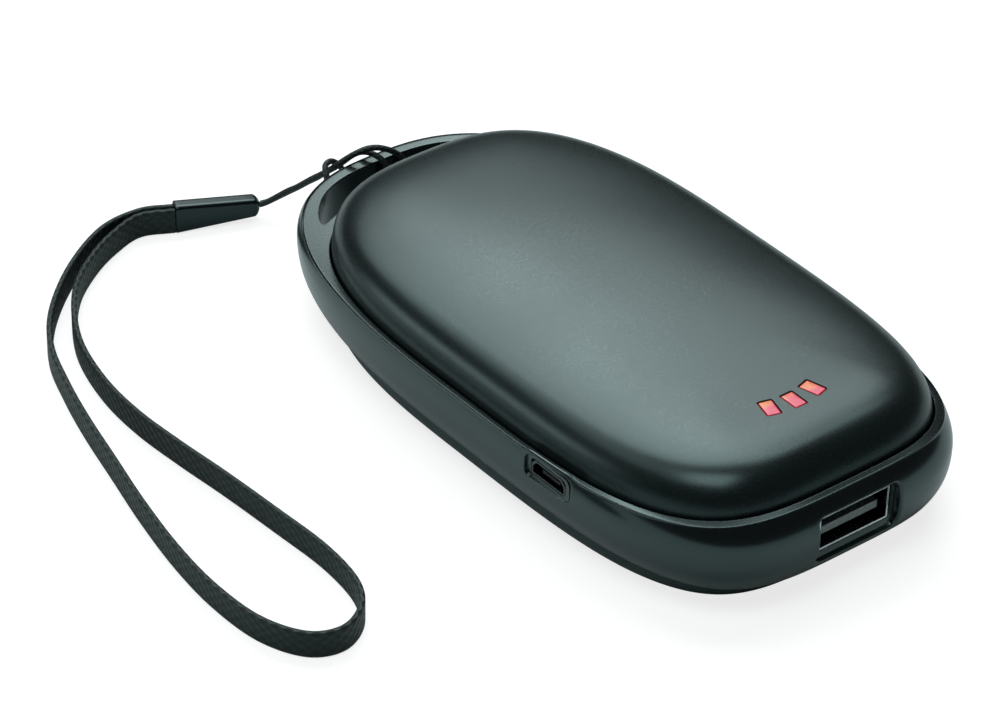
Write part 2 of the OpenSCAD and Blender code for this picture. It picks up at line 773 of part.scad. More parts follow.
module thermistor() {
    color([0.1, 0.1, 0.1])
    translate([0, -board_rear, film_under(0, -board_rear) - thermistor_d / 2])
        rotate([0, 90, 0])
            cylinder(d = thermistor_d, h = 3 * thermistor_d, center = true, $fn = 24);
}

// Wires: a tube swept along its points, its section carried along without twist
function unit(v) = v / norm(v);
function tangent(path, i) =
    let (n = len(path)) unit(path[min(i + 1, n - 1)] - path[max(i - 1, 0)]);
function carried(path, i, side) =
    let (t = tangent(path, i), s = unit(side - (side * t) * t))
    i == len(path) - 1 ? [s] : concat([s], carried(path, i + 1, s));
module tube(path, w, h, sides, up) {
    tangents = [for (i = [0:len(path) - 1]) tangent(path, i)];
    ups = carried(path, 0, up);
    loops = [for (i = [0:len(path) - 1])
        let (u = ups[i], s = cross(tangents[i], u))
        [for (k = [0:sides - 1])
            let (a = 360 * (k + 0.5) / sides, q = sides == 4 ? sqrt(2) : 1)
            path[i] + q * (w / 2 * cos(a) * s + h / 2 * sin(a) * u)]];
    skin(loops, path[0], path[len(path) - 1]);
}

lead_x = 3;
lead_bow = 2.2;
module battery_leads() {
    back = cell_y - bms_t;
    pad = lead_pad_y;
    top = board_z + board_t;
    for (side = [-1, 1])
        color(side < 0 ? [0.8, 0.1, 0.1] : [0.1, 0.1, 0.1])
        tube([[side * lead_x, back, top], [side * lead_x, back - lead_d, top],
              [side * lead_x, back - 1.7 * lead_d, top + 0.4 * lead_bow],
              [side * lead_x, (back + pad) / 2, top + 0.9 * lead_bow],
              [side * lead_x, pad + 0.6 * lead_d, top + lead_bow],
              [side * lead_x, pad, top + 0.6 * lead_bow], [side * lead_x, pad, top]],
            lead_d, lead_d, 8, [1, 0, 0]);
}

// Two leads rise to the top film and two pass through the chassis to the bottom film
film_lead_x = 7;
lead_clear = 3;
floor_lead_x = post_x - post_d / 2 - lead_clear;
lead_y = -board_rear - 5 * lead_d;
module heater_leads() {
    color([0.85, 0.85, 0.83])
    for (side = [-1, 1]) {
        top = film_under(film_lead_x, lead_y);
        start = board_z + board_t;
        tube([[side * film_lead_x, lead_y, start], [side * film_lead_x, lead_y, start + lead_d],
              [side * film_lead_x, lead_y + lead_d, (start + top) / 2],
              [side * film_lead_x, lead_y, top - lead_d], [side * film_lead_x, lead_y, top]],
            lead_d, lead_d, 8, [1, 0, 0]);
        floor_z = foot_z + film_t;
        tube([[side * floor_lead_x, lead_y, board_z], [side * floor_lead_x, lead_y, board_z - lead_d],
              [side * floor_lead_x, lead_y + 0.5 * lead_d, (board_z + chassis_top) / 2],
              [side * floor_lead_x, lead_y, chassis_top], [side * floor_lead_x, lead_y, floor_z]],
            lead_d, lead_d, 8, [1, 0, 0]);
    }
}

// Thin cord: out of the ferrule, over the bar, through the slot, under the bar and round itself
cord_route = [
    [-13.45, 67.34, 3], [-12.72, 66.87, 3.23], [-12.19, 66.33, 3.68], [-11.4, 65.2, 4.8],
    [-10.5, 64.1, 5.9], [-9.7, 62.9, 6.9], [-8.9, 61.8, 8], [-8.1, 60.7, 9.1], [-7.2, 59.5, 10.2],
    [-6.4, 58.4, 11.3], [-5.6, 57.4, 12.5], [-4.7, 56.5, 13.6], [-3.5, 55.6, 14.6], [-2, 54.9, 15.2],
    [-0.4, 54.3, 15.1], [1.1, 53.7, 14.5], [2.5, 53.4, 13.5], [3.6, 53.2, 12.2], [4.4, 53, 10.6],
    [4.7, 52.9, 8.9], [4.5, 53, 7.2], [3.8, 53.1, 5.6], [2.7, 53.5, 4.3], [1.3, 54.2, 3.5], [-0.3, 55, 3.4],
    [-1.7, 55.8, 4], [-2.8, 56.6, 5.2], [-3.4, 57.2, 6.7], [-3.6, 57.8, 8.3], [-3.9, 58.4, 9.9],
    [-4.7, 58.8, 11.4], [-6.1, 58.9, 12.4], [-7.6, 58.2, 12.4], [-8.2, 57, 11.4], [-8.4, 56.8, 9.7],
    [-8, 57, 8], [-7.1, 57.1, 6.5], [-5.9, 56.8, 5.2], [-4.6, 56.3, 4.2], [-3.2, 55.5, 3.7],
    [-1.7, 54.5, 3.6], [-0.3, 53.6, 4.2], [0.7, 52.9, 5.4], [1.2, 52.5, 7], [1.2, 52.4, 8.8],
    [0.9, 52.5, 10.5], [0.4, 52.9, 12.1], [-0.3, 53.8, 13.4], [-1.2, 55.2, 14], [-1.9, 56.7, 13.6],
    [-2.5, 58, 12.6], [-3.1, 59, 11.4], [-4.1, 59.9, 10.2], [-5.4, 60.7, 9.3], [-6.7, 61.4, 8.4],
    [-7.7, 62.6, 7.3], [-8.7, 63.8, 6.1], [-9.7, 65, 5], [-10.7, 66.3, 3.8], [-11.72, 67.47, 2.71],
    [-12.29, 67.99, 2.27], [-13.06, 68.39, 2.05]];
// Flat strap: on its edge, out of the ferrule and back in one loop
strap_route = [
    [-25.9, 73.5, 2.25], [-31, 75.7, 2.25], [-38.5, 74.9, 2.25], [-48, 69.2, 2.25], [-56.6, 61.2, 2.25],
    [-61.8, 53.4, 2.25], [-65, 44.6, 2.25], [-67.6, 35.4, 2.25], [-70, 25, 2.25], [-72.6, 13.6, 2.25],
    [-74.6, 2.2, 2.25], [-75.4, -8, 2.25], [-74.6, -17.4, 2.25], [-71.4, -24, 2.25], [-66.6, -26, 2.25],
    [-61.8, -23.6, 2.25], [-59, -18.6, 2.25], [-58, -10, 2.25], [-58.6, 1, 2.25], [-59.4, 12, 2.25],
    [-60.4, 22, 2.25], [-61, 31.6, 2.25], [-60.4, 41, 2.25], [-58, 51, 2.25], [-54, 59, 2.25],
    [-49.2, 65.2, 2.25], [-43, 70, 2.25], [-37.2, 73, 2.25], [-31.6, 74.5, 2.25], [-26.4, 72.3, 2.25]];

module lanyard_cord() {
    color([0.08, 0.09, 0.09]) tube(cord_route, cord_d, cord_d, 8, [1, 0, 0]);
}

module lanyard_strap() {
    color([0.08, 0.09, 0.09]) tube(strap_route, strap_t, strap_w, 4, [0, 0, 1]);
}

// Ferrule: a flat sleeve that lies on its edge and narrows to a round tip at the cord's end
ferrule_w = 2.6;
ferrule_tip_share = 0.6;
ferrule_start = [-26.1, 72.9];
ferrule_turn = -21.4;
tip_steps = 6;
module lanyard_ferrule() {
    tip_h = ferrule_tip_share * ferrule_h;
    tip_r = tip_h / 3;
    color([0.12, 0.13, 0.13])
    translate([ferrule_start.x, ferrule_start.y, ferrule_h / 2]) rotate(ferrule_turn)
        rotate([90, 0, 0]) translate([0, 0, -ferrule_w / 2])
            linear_extrude(ferrule_w)
                polygon(concat(
                    [[0, ferrule_h / 2], [0, -ferrule_h / 2]],
                    [for (k = [0:tip_steps]) let (a = 90 * k / tip_steps - 90)
                        [ferrule_l - tip_r + tip_r * cos(a), tip_r - tip_h / 2 + tip_r * sin(a)]],
                    [for (k = [0:tip_steps]) let (a = 90 * k / tip_steps)
                        [ferrule_l - tip_r + tip_r * cos(a), tip_h / 2 - tip_r + tip_r * sin(a)]]));
}

top_cover();
bottom_cover();
frame_ring();
trim_ring();
light_guide();
indicator_lights();
usb_a_shell();
usb_a_tongue();
usb_a_contacts();
micro_usb_shell();
micro_usb_tongue();
micro_usb_contacts();
power_button();
button_plunger();
tact_switch();
main_board();
charge_controller();
power_inductor();
capacitors();
board_screws();
chassis();
battery_cell();
battery_board();
battery_pads();
battery_leads();
top_heater();
bottom_heater();
heater_foam();
heater_leads();
thermistor();
lanyard_cord();
lanyard_ferrule();
lanyard_strap();
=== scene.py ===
import json
import math

import bmesh
import bpy
import numpy as np
from mathutils import Matrix

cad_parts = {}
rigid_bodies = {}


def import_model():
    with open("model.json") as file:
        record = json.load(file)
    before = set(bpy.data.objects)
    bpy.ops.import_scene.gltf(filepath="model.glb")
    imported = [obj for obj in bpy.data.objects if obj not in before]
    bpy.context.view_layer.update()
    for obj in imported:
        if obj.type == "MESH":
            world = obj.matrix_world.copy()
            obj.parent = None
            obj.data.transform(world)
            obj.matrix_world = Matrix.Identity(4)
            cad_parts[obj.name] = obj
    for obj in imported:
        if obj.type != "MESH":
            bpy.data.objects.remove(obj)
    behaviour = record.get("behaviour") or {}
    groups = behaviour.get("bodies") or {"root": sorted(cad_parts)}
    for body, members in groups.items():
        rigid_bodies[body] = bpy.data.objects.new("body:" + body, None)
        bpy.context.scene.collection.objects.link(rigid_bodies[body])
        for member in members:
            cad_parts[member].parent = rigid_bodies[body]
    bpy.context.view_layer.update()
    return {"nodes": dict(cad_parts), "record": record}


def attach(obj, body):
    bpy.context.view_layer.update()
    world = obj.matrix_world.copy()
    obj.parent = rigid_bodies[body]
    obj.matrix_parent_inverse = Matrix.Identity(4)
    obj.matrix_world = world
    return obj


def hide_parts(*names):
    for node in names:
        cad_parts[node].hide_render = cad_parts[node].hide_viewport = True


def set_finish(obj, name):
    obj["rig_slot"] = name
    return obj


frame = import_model()
mm = 0.001
print("frame loaded:", len(frame["nodes"]), "nodes")

photoCamera = {"azimuth": -39.169, "elevation": 35.423, "roll": 1.397, "distance": 622.05,
               "lens": 150.36, "sensor": 36, "acrossMm": -14.71, "upMm": 5.171, "near": 0.01, "far": 20}


# a new object in the scene
def linked(name, data):
    thing = bpy.data.objects.new(name, data)
    bpy.context.scene.collection.objects.link(thing)
    return thing


# the side, upward and backward directions of something that faces the origin from an azimuth and an
# elevation: products of their sines and cosines
def facing(azimuth, elevation):
    turn, tilt = math.radians(azimuth), math.radians(elevation)
    back = np.array([math.cos(turn) * math.cos(tilt), math.sin(turn) * math.cos(tilt), math.sin(tilt)])
    side = np.array([-math.sin(turn), math.cos(turn), 0])
    return side, np.cross(back, side), back


# puts an object somewhere with its three directions
def stand(thing, side, up, back, spot):
    thing.matrix_world = Matrix([[side[i], up[i], back[i], spot[i]] for i in range(3)] + [[0, 0, 0, 1]])


# the view turns round the body's middle, tilts down, rolls, and slides in its own plane
def makeCamera(c):
    side, rise, back = facing(c["azimuth"] - 90, c["elevation"])
    k = math.radians(c["roll"])
    right, up = math.cos(k) * side + math.sin(k) * rise, -math.sin(k) * side + math.cos(k) * rise
    data = bpy.data.cameras.new("photoCamera")
    data.sensor_width, data.lens = c["sensor"], c["lens"]
    data.clip_start, data.clip_end = c["near"], c["far"]
    cam = linked("photoCamera", data)
    stand(cam, right, up, back, (c["acrossMm"] * right + c["upMm"] * up + c["distance"] * back) * mm)
    bpy.context.scene.camera = cam


makeCamera(photoCamera)

meshing = {"blendRings": 6, "weld": 4e-7, "sharpDegrees": 35, "newtonSteps": 16, "nudge": 1e-5,
           "longestStep": 0.2, "softSteps": 6}


# gathers grids of points in millimetres, and the faces between them, for one mesh
class Shell:
    def __init__(self):
        self.points, self.faces, self.uvs, self.total = [], [], [], 0

    # keeps an array of points and returns their numbers in the array's own layout
    def add(self, points):
        ids = np.arange(self.total, self.total + points[..., 0].size).reshape(points.shape[:-1])
        self.points.append(points.reshape(-1, 3))
        self.total += ids.size
        return ids

    # four-sided faces over a grid of point numbers, where keep allows them
    def cover(self, ids, keep=None, uv=None):
        quads = np.stack([ids[:-1, :-1], ids[1:, :-1], ids[1:, 1:], ids[:-1, 1:]], -1)
        spots = (np.zeros(quads.shape + (2,)) if uv is None else
                 np.stack([uv[:-1, :-1], uv[1:, :-1], uv[1:, 1:], uv[:-1, 1:]], -2))
        keep = np.ones(quads.shape[:2], bool) if keep is None else keep
        self.faces.append(quads[keep])
        self.uvs.append(spots[keep])

    # closed loops of points, each joined to the one before, from the loop numbered first
    def rings(self, first, loops):
        ids = np.vstack([first[None]] + [self.add(loop)[None] for loop in loops])
        self.cover(np.hstack([ids, ids[:, :1]]))
        return ids[-1]

    # one band of faces between two loops that already have numbers
    def join(self, one, other):
        ids = np.vstack([one, other])
        self.cover(np.hstack([ids, ids[:, :1]]))

    # closes a loop with triangles to one point
    def fan(self, ring, point):
        tip = self.add(np.asarray(point, float).reshape(1, 3))[0]
        faces = np.stack([ring, np.roll(ring, -1), np.full_like(ring, tip), np.full_like(ring, tip)], -1)
        self.faces.append(faces)
        self.uvs.append(np.zeros(faces.shape + (2,)))

    # a grid closed in its first direction; rings of faces blend each hole's cells into its outline
    def grid(self, surface, u, v, holes=()):
        ids = self.add(surface(*np.meshgrid(u, v, indexing="ij")))
        wide = np.vstack([ids, ids[:1]])
        keep = np.ones((len(u), len(v) - 1), bool)
        edges = []
        for (i0, i1, j0, j1), outline in holes:
            keep[i0:i1, j0:j1] = False
            down, across = np.arange(j0, j1), np.arange(i0, i1)
            i = np.concatenate([across, np.full(j1 - j0, i1), across[::-1] + 1, np.full(j1 - j0, i0)])
            j = np.concatenate([np.full(i1 - i0, j0), down, np.full(i1 - i0, j1), down[::-1] + 1])
            borderUv, holeUv = np.stack([u[i], v[j]], -1), outline((i1 - i0, j1 - j0))
            shares = np.linspace(0, 1, meshing["blendRings"] + 1)[1:, None, None]
            loops = surface(*np.moveaxis((1 - shares) * borderUv + shares * holeUv, -1, 0))
            edges.append((self.rings(wide[i, j], loops), loops[-1]))
        self.cover(wide, keep)
        return edges

    # merges doubles, turns every face outwards and makes one smooth object on the body
    def build(self, name, slotName, sharp=meshing["sharpDegrees"]):
        points, faces, uvs = (np.concatenate(x) for x in (self.points, self.faces, self.uvs))
        used, faces = np.unique(faces, return_inverse=True)
        faces = faces.reshape(-1, 4)
        three = faces[:, 2] == faces[:, 3]
        mesh = bpy.data.meshes.new(name)
        mesh.from_pydata((points[used] * mm).tolist(), [],
                         faces[~three].tolist() + faces[three][:, :3].tolist())
        flatUv = np.concatenate([uvs[~three].reshape(-1, 2), uvs[three][:, :3].reshape(-1, 2)])
        layer = mesh.uv_layers.new(name="UVMap")
        layer.data.foreach_set("uv", flatUv.astype(np.float32).ravel())
        bm = bmesh.new()
        bm.from_mesh(mesh)
        bmesh.ops.remove_doubles(bm, verts=bm.verts, dist=meshing["weld"])
        bmesh.ops.recalc_face_normals(bm, faces=bm.faces)
        openEdges = sum(1 for edge in bm.edges if not edge.is_manifold)
        bm.to_mesh(mesh)
        bm.free()
        mesh.shade_smooth()
        mesh.set_sharp_from_angle(angle=math.radians(sharp))
        piece = linked(name, mesh)
        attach(piece, "body")
        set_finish(piece, slotName)
        print("piece", name, len(mesh.polygons), "faces,", openEdges, "open edges")
        return piece


# Catmull-Rom curve through the points, in equal steps from each point to the next
def smoothLine(points, steps):
    p = np.asarray(points, float)
    p = np.vstack([2 * p[0] - p[1], p, 2 * p[-1] - p[-2]])
    t = (np.arange(steps) / steps)[None, :, None]
    p0, p1, p2, p3 = p[:-3, None], p[1:-2, None], p[2:-1, None], p[3:, None]
    q = (2 * p1 + (p2 - p0) * t + (2 * p0 - 5 * p1 + 4 * p2 - p3) * t ** 2
         + (3 * p1 - p0 - 3 * p2 + p3) * t ** 3) / 2
    return np.vstack([q.reshape(-1, 3), p[-2:-1]])


# vectors divided by their lengths
def unit(v):
    return v / np.linalg.norm(v, axis=-1, keepdims=True)


# points a rectangle with round corners, anticlockwise from the middle of its lower left corner,
# with a count of points on each side; a mix of even and cosine spacing crowds them at the corners
def roundedLoop(width, height, radius, counts, centre=(0, 0)):
    least, even, eased, cornerPoints = 1e-3, 0.45, 0.55, 9
    radius = max(min(radius, width / 2 - least, height / 2 - least), least)
    halfCorner = np.radians(np.linspace(-45, 0, cornerPoints))
    sides = []
    for turn, (w, h, n) in enumerate(((width, height, counts[0]), (height, width, counts[1])) * 2):
        start = np.stack([-w / 2 + radius + radius * np.sin(halfCorner),
                          -h / 2 + radius - radius * np.cos(halfCorner)], -1)
        line = np.vstack([start, start[::-1] * [-1, 1]])
        run = np.concatenate([[0], np.cumsum(np.hypot(*np.diff(line, axis=0).T))])
        t = np.arange(n) / n
        at = (even * t + eased * (1 - np.cos(np.pi * t)) / 2) * run[-1]
        spots = np.stack([np.interp(at, run, line[:, k]) for k in (0, 1)], -1)
        c, s = round(math.cos(turn * math.pi / 2)), round(math.sin(turn * math.pi / 2))
        sides.append(spots @ np.array([[c, s], [-s, c]]))
    return np.concatenate(sides) + np.asarray(centre)


# a quarter round edge, ring by ring: how far out of the wall it still is, and how far down it has gone
def quarterRound(soft, steps=meshing["softSteps"], first=0):
    return [(soft * (1 - math.sin(t)), soft * (1 - math.cos(t)))
            for t in np.radians(np.linspace(0, 90, steps)[first:])]


# rows of a grid in spans that share their ends, each with its own count
def rowsOver(spans):
    return np.concatenate([np.linspace(*spans[0])] + [np.linspace(*span)[1:] for span in spans[1:]])


# a section carried along a line, its upward side kept near one direction or carried from ring to ring
def sweepPiece(name, line, section, up, carried, slotName):
    ahead = unit(np.gradient(line, axis=0))
    ups = [np.asarray(up, float)]
    for t in ahead:
        last = ups[-1] if carried else ups[0]
        ups.append(unit(last - (last @ t) * t))
    ups = np.array(ups[1:])
    across = np.cross(ahead, ups)
    points = line[:, None] + across[:, None] * section[:, :1] + ups[:, None] * section[:, 1:]
    run = np.concatenate([[0], np.cumsum(np.linalg.norm(np.diff(line, axis=0), axis=1))])
    turn = np.concatenate([[0], np.cumsum(np.hypot(*np.diff(np.vstack([section, section[:1]]), axis=0).T))])
    shell = Shell()
    ids = shell.add(points)
    shell.cover(np.hstack([ids, ids[:, :1]]), uv=np.stack(np.broadcast_arrays(turn[None], run[:, None]), -1))
    shell.fan(ids[0], line[0])
    shell.fan(ids[-1], line[-1])
    return shell.build(name, slotName, sharp=lanyard["sharpDegrees"]), run[-1]


lanyard = {"cordDiameter": 0.95, "cordSides": 14, "cordSteps": 8, "strapWidth": 4.4, "strapThickness": 0.9,
           "strapCorner": 0.4, "strapHeight": 2.25, "strapSides": (8, 20), "strapSteps": 12,
           "sharpDegrees": 60}
cordRoute = [
    [-13.45, 67.34, 3], [-12.72, 66.87, 3.23], [-12.19, 66.33, 3.68], [-11.4, 65.2, 4.8],
    [-10.5, 64.1, 5.9], [-9.7, 62.9, 6.9], [-8.9, 61.8, 8], [-8.1, 60.7, 9.1], [-7.2, 59.5, 10.2],
    [-6.4, 58.4, 11.3], [-5.6, 57.4, 12.5], [-4.7, 56.5, 13.6], [-3.5, 55.6, 14.6], [-2, 54.9, 15.2],
    [-0.4, 54.3, 15.1], [1.1, 53.7, 14.5], [2.5, 53.4, 13.5], [3.6, 53.2, 12.2], [4.4, 53, 10.6],
    [4.7, 52.9, 8.9], [4.5, 53, 7.2], [3.8, 53.1, 5.6], [2.7, 53.5, 4.3], [1.3, 54.2, 3.5], [-0.3, 55, 3.4],
    [-1.7, 55.8, 4], [-2.8, 56.6, 5.2], [-3.4, 57.2, 6.7], [-3.6, 57.8, 8.3], [-3.9, 58.4, 9.9],
    [-4.7, 58.8, 11.4], [-6.1, 58.9, 12.4], [-7.6, 58.2, 12.4], [-8.2, 57, 11.4], [-8.4, 56.8, 9.7],
    [-8, 57, 8], [-7.1, 57.1, 6.5], [-5.9, 56.8, 5.2], [-4.6, 56.3, 4.2], [-3.2, 55.5, 3.7],
    [-1.7, 54.5, 3.6], [-0.3, 53.6, 4.2], [0.7, 52.9, 5.4], [1.2, 52.5, 7], [1.2, 52.4, 8.8],
    [0.9, 52.5, 10.5], [0.4, 52.9, 12.1], [-0.3, 53.8, 13.4], [-1.2, 55.2, 14], [-1.9, 56.7, 13.6],
    [-2.5, 58, 12.6], [-3.1, 59, 11.4], [-4.1, 59.9, 10.2], [-5.4, 60.7, 9.3], [-6.7, 61.4, 8.4],
    [-7.7, 62.6, 7.3], [-8.7, 63.8, 6.1], [-9.7, 65, 5], [-10.7, 66.3, 3.8], [-11.72, 67.47, 2.71],
    [-12.29, 67.99, 2.27], [-13.06, 68.39, 2.05]]
strapPlan = [
    [-25.9, 73.5], [-31, 75.7], [-38.5, 74.9], [-48, 69.2], [-56.6, 61.2], [-61.8, 53.4], [-65, 44.6],
    [-67.6, 35.4], [-70, 25], [-72.6, 13.6], [-74.6, 2.2], [-75.4, -8], [-74.6, -17.4], [-71.4, -24],
    [-66.6, -26], [-61.8, -23.6], [-59, -18.6], [-58, -10], [-58.6, 1], [-59.4, 12], [-60.4, 22],
    [-61, 31.6], [-60.4, 41], [-58, 51], [-54, 59], [-49.2, 65.2], [-43, 70], [-37.2, 73], [-31.6, 74.5],
    [-26.4, 72.3]]
strapRoute = [[*spot, lanyard["strapHeight"]] for spot in strapPlan]

circle = np.radians(np.arange(lanyard["cordSides"]) * 360 / lanyard["cordSides"])
cordSection = lanyard["cordDiameter"] / 2 * np.stack([np.cos(circle), np.sin(circle)], -1)
cordLine = smoothLine(cordRoute, lanyard["cordSteps"])
thinCord, cordLength = sweepPiece("thinCord", cordLine, cordSection, (1, 0, 0), True, "braid")
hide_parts("lanyard_cord")
strapSection = roundedLoop(lanyard["strapThickness"], lanyard["strapWidth"], lanyard["strapCorner"],
                           lanyard["strapSides"])
strapLine = smoothLine(strapRoute, lanyard["strapSteps"])
wristStrap, strapLength = sweepPiece("wristStrap", strapLine, strapSection, (0, 0, 1), False, "braid")
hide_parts("lanyard_strap")

# the mouth's profile from its floor out over the rim: distance along, inset and corner radius
sleeve = {"start": (-26.1, 72.9), "turn": -21.4, "length": 13.6, "width": 2.6, "height": 5.0,
          "tipHeight": 3.0, "tipRound": 0.9, "corner": 0.6, "tipCorner": 0.5, "sides": (14, 22),
          "sharpDegrees": 50, "bodyFrom": 0.6, "bodyRings": 10, "tipDegrees": (10, 84, 9),
          "mouth": [(1.6, 0.3, 0.3), (0.15, 0.3, 0.3), (0.05, 0.26, 0.32), (0, 0.18, 0.36), (0, 0.12, 0.55),
                    (0.05, 0.04, 0.6), (0.15, 0, 0.6)]}


# the cord's sleeve: a rounded rectangle drawn along its axis, its height falling to a round tip
def makeSleeve(f):
    turn = math.radians(f["turn"])
    axis = np.array([math.cos(turn), math.sin(turn), 0])
    across = np.array([-math.sin(turn), math.cos(turn), 0])
    start = np.array([*f["start"], f["height"] / 2])
    length, width, round_ = f["length"], f["width"], f["tipRound"]

    def ring(along, inset, radius):
        tall = f["height"] + (f["tipHeight"] - f["height"]) * max(along, 0) / length
        loop = roundedLoop(width - 2 * inset, tall - 2 * inset, radius, f["sides"])
        return start + along * axis + loop[:, :1] * across + loop[:, 1:] * np.array([0, 0, 1])

    steps = f["mouth"] + [(s, 0, f["corner"])
                          for s in np.linspace(f["bodyFrom"], length - round_, f["bodyRings"])]
    steps += [(length - round_ * (1 - math.sin(t)), round_ * (1 - math.cos(t)),
               f["corner"] + f["tipCorner"] * t) for t in np.radians(np.linspace(*f["tipDegrees"]))]
    shell = Shell()
    first = shell.add(ring(*steps[0]))
    last = shell.rings(first, [ring(*step) for step in steps[1:]])
    shell.fan(first, start + steps[0][0] * axis)
    shell.fan(last, start + length * axis)
    return shell.build("cordSleeve", "ferrule_plastic", sharp=f["sharpDegrees"])


cordSleeve = makeSleeve(sleeve)
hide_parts("lanyard_ferrule")
[x * mm for x in strapRoute[0]]
print("lanyard made: cord %.0f mm, strap %.0f mm" % (cordLength, strapLength))

case = {"halfWidth": 30.3, "halfLength": 57.0, "frontPower": 3.8, "rearPower": 2.6,
        "seam": 4.7, "waist": 10.9, "rim": 13.8, "seamInset": 1.55, "seamPower": 2.5,
        "rimInset": 0.2, "rimPower": 2, "frontLean": 1.9, "rearLean": 0.7, "frontRise": 2.3, "rearDrop": 1.0,
        "portY": -24.2, "portRise": 0.6, "portThick": 0.3, "portHalf": 4.05, "portRamp": 1.8,
        "ridge": 0.15, "ridgeRound": 0.1, "groove": 0.15, "grooveRing": 0.35, "trimHeight": 0.6,
        "trimSoft": 0.13, "gap": 0.3, "lipDrop": 0.3, "tongueInset": 0.65, "stepTop": 7.1, "stepHeight": 1.2,
        "outerGuess": 1.0, "innerGuess": 0.55, "shelfGuess": 0.5, "outerRows": ((0, 1, 25), (1, 2, 17)),
        "innerRows": ((0, 1, 41),), "shelfRows": ((0, 1, 25),), "openingSteps": 8, "ridgeSteps": 9}
lid = {"halfWidth": 28.6, "front": 53.4, "rear": 46.3, "rearPower": 2.85, "skirt": 1.8, "skirtSoft": 0.05,
       "wall": 1.2, "shoulder": 6.0, "shoulderHeight": 5.6, "shoulderPower": 2.7, "crown": 3.0,
       "crownPower": 2.5, "swellPower": 8, "frontLift": 0.9, "leanPower": 5, "leanFade": 1.5,
       "rows": ((0, 0.8, 15), (0.8, 0.94, 25), (0.94, 1, 4), (1, 2, 25)), "cellMargin": 2,
       "bottomDraw": 0.25, "bottomRows": ((0, 1, 9), (1, 2, 25))}


# the norm of a superellipse: the n-th root of the summed n-th powers of sine and cosine
def normPower(a, n):
    return (np.abs(np.cos(a)) ** n + np.abs(np.sin(a)) ** n) ** (1 / n)


# two half superellipses joined at the widest line, moved inwards along their normal
def egg(a, halfWidth, front, rear, rearPower, inset):
    a, inset = np.broadcast_arrays(np.asarray(a, float), np.asarray(inset, float))
    n = np.where(np.sin(a) < 0, case["frontPower"], rearPower)
    length = np.where(np.sin(a) < 0, front, rear)
    x = halfWidth * np.cos(a) / normPower(a, n)
    y = length * np.sin(a) / normPower(a, n)
    gx = np.sign(x) * (np.abs(x) / halfWidth) ** (n - 1) / halfWidth
    gy = np.sign(y) * (np.abs(y) / length) ** (n - 1) / length
    g = np.hypot(gx, gy)
    return np.stack([x - inset * gx / g, y - inset * gy / g], -1)


# the band's plan, and the lid's, at an angle and an inset
def bodyAt(a, inset):
    return egg(a, case["halfWidth"], case["halfLength"], case["halfLength"], case["rearPower"], inset)


def lidAt(a, inset):
    return egg(a, lid["halfWidth"], lid["front"], lid["rear"], lid["rearPower"], inset)


# how near a point is to one end, from 0 to 1: the n-th power of its place along that half
def endShare(a, side, n):
    return np.where(side * np.sin(a) > 0, (np.abs(np.sin(a)) / normPower(a, n)) ** n, 0)


def frontShare(a):
    return endShare(a, -1, case["frontPower"])


def rearShare(a):
    return endShare(a, 1, case["rearPower"])


# 1 over the charging socket, falling to 0 at both sides by a cosine ramp
def portShare(a):
    away = np.abs(bodyAt(a, 0)[..., 1] - case["portY"]) - case["portHalf"]
    return np.where(np.cos(a) < 0, (1 + np.cos(np.pi * np.clip(away / case["portRamp"], 0, 1))) / 2, 0)


# the rim rises to the front and falls to the lanyard end, and leans in further at both
def rimAt(a):
    return case["rim"] + case["frontRise"] * frontShare(a) - case["rearDrop"] * rearShare(a)


def rimDraw(a):
    return case["rimInset"] + case["frontLean"] * frontShare(a) + case["rearLean"] * rearShare(a)


# flat points with a height
def lift(flat, z):
    return np.concatenate([flat, np.broadcast_to(z, flat.shape[:-1])[..., None]], -1)


# over the charging socket the ridge is thicker, and the lip starts further in
def rimLoop(a, inset, drop):
    return lift(bodyAt(a, rimDraw(a) + inset + case["portThick"] * portShare(a)), rimAt(a) - drop)


# the ridge, across its round top by a share of its width; it swells up over the charging socket
def ridgeLoop(a, across, drop):
    width = case["ridge"] + case["portThick"] * portShare(a)
    return lift(bodyAt(a, rimDraw(a) + across * width), rimAt(a) + case["portRise"] * portShare(a) - drop)


# a loop that follows the lid's plan at the rim's height
def lidLoop(a, inset, drop):
    return lift(lidAt(a, inset), rimAt(a) - drop)


# two curves that meet at the waist: the inset falls to nothing there, then grows, each as a power
def outerWall(a, v):
    low, high = np.clip(v, 0, 1), np.maximum(v - 1, 0)
    inset = case["seamInset"] * (1 - low) ** case["seamPower"] + rimDraw(a) * high ** case["rimPower"]
    top = rimAt(a) + case["portRise"] * portShare(a) - case["ridgeRound"]
    return lift(bodyAt(a, inset), case["seam"] + low * (case["waist"] - case["seam"])
                + high * (top - case["waist"]))


# the wall inside the band, which steps in near its foot to meet the lower shell by a smooth cubic
def innerWall(a, v):
    z = case["seam"] + v * (rimAt(a) - case["trimHeight"] - case["seam"])
    step = np.clip((case["stepTop"] - z) / case["stepHeight"], 0, 1)
    inset = -case["gap"] + (case["tongueInset"] + case["gap"]) * step ** 2 * (3 - 2 * step)
    return lift(lidAt(a, inset), z)


# straight across from one loop to another
def between(one, other):
    return lambda a, s: (1 - s[..., None]) * one(a) + s[..., None] * other(a)


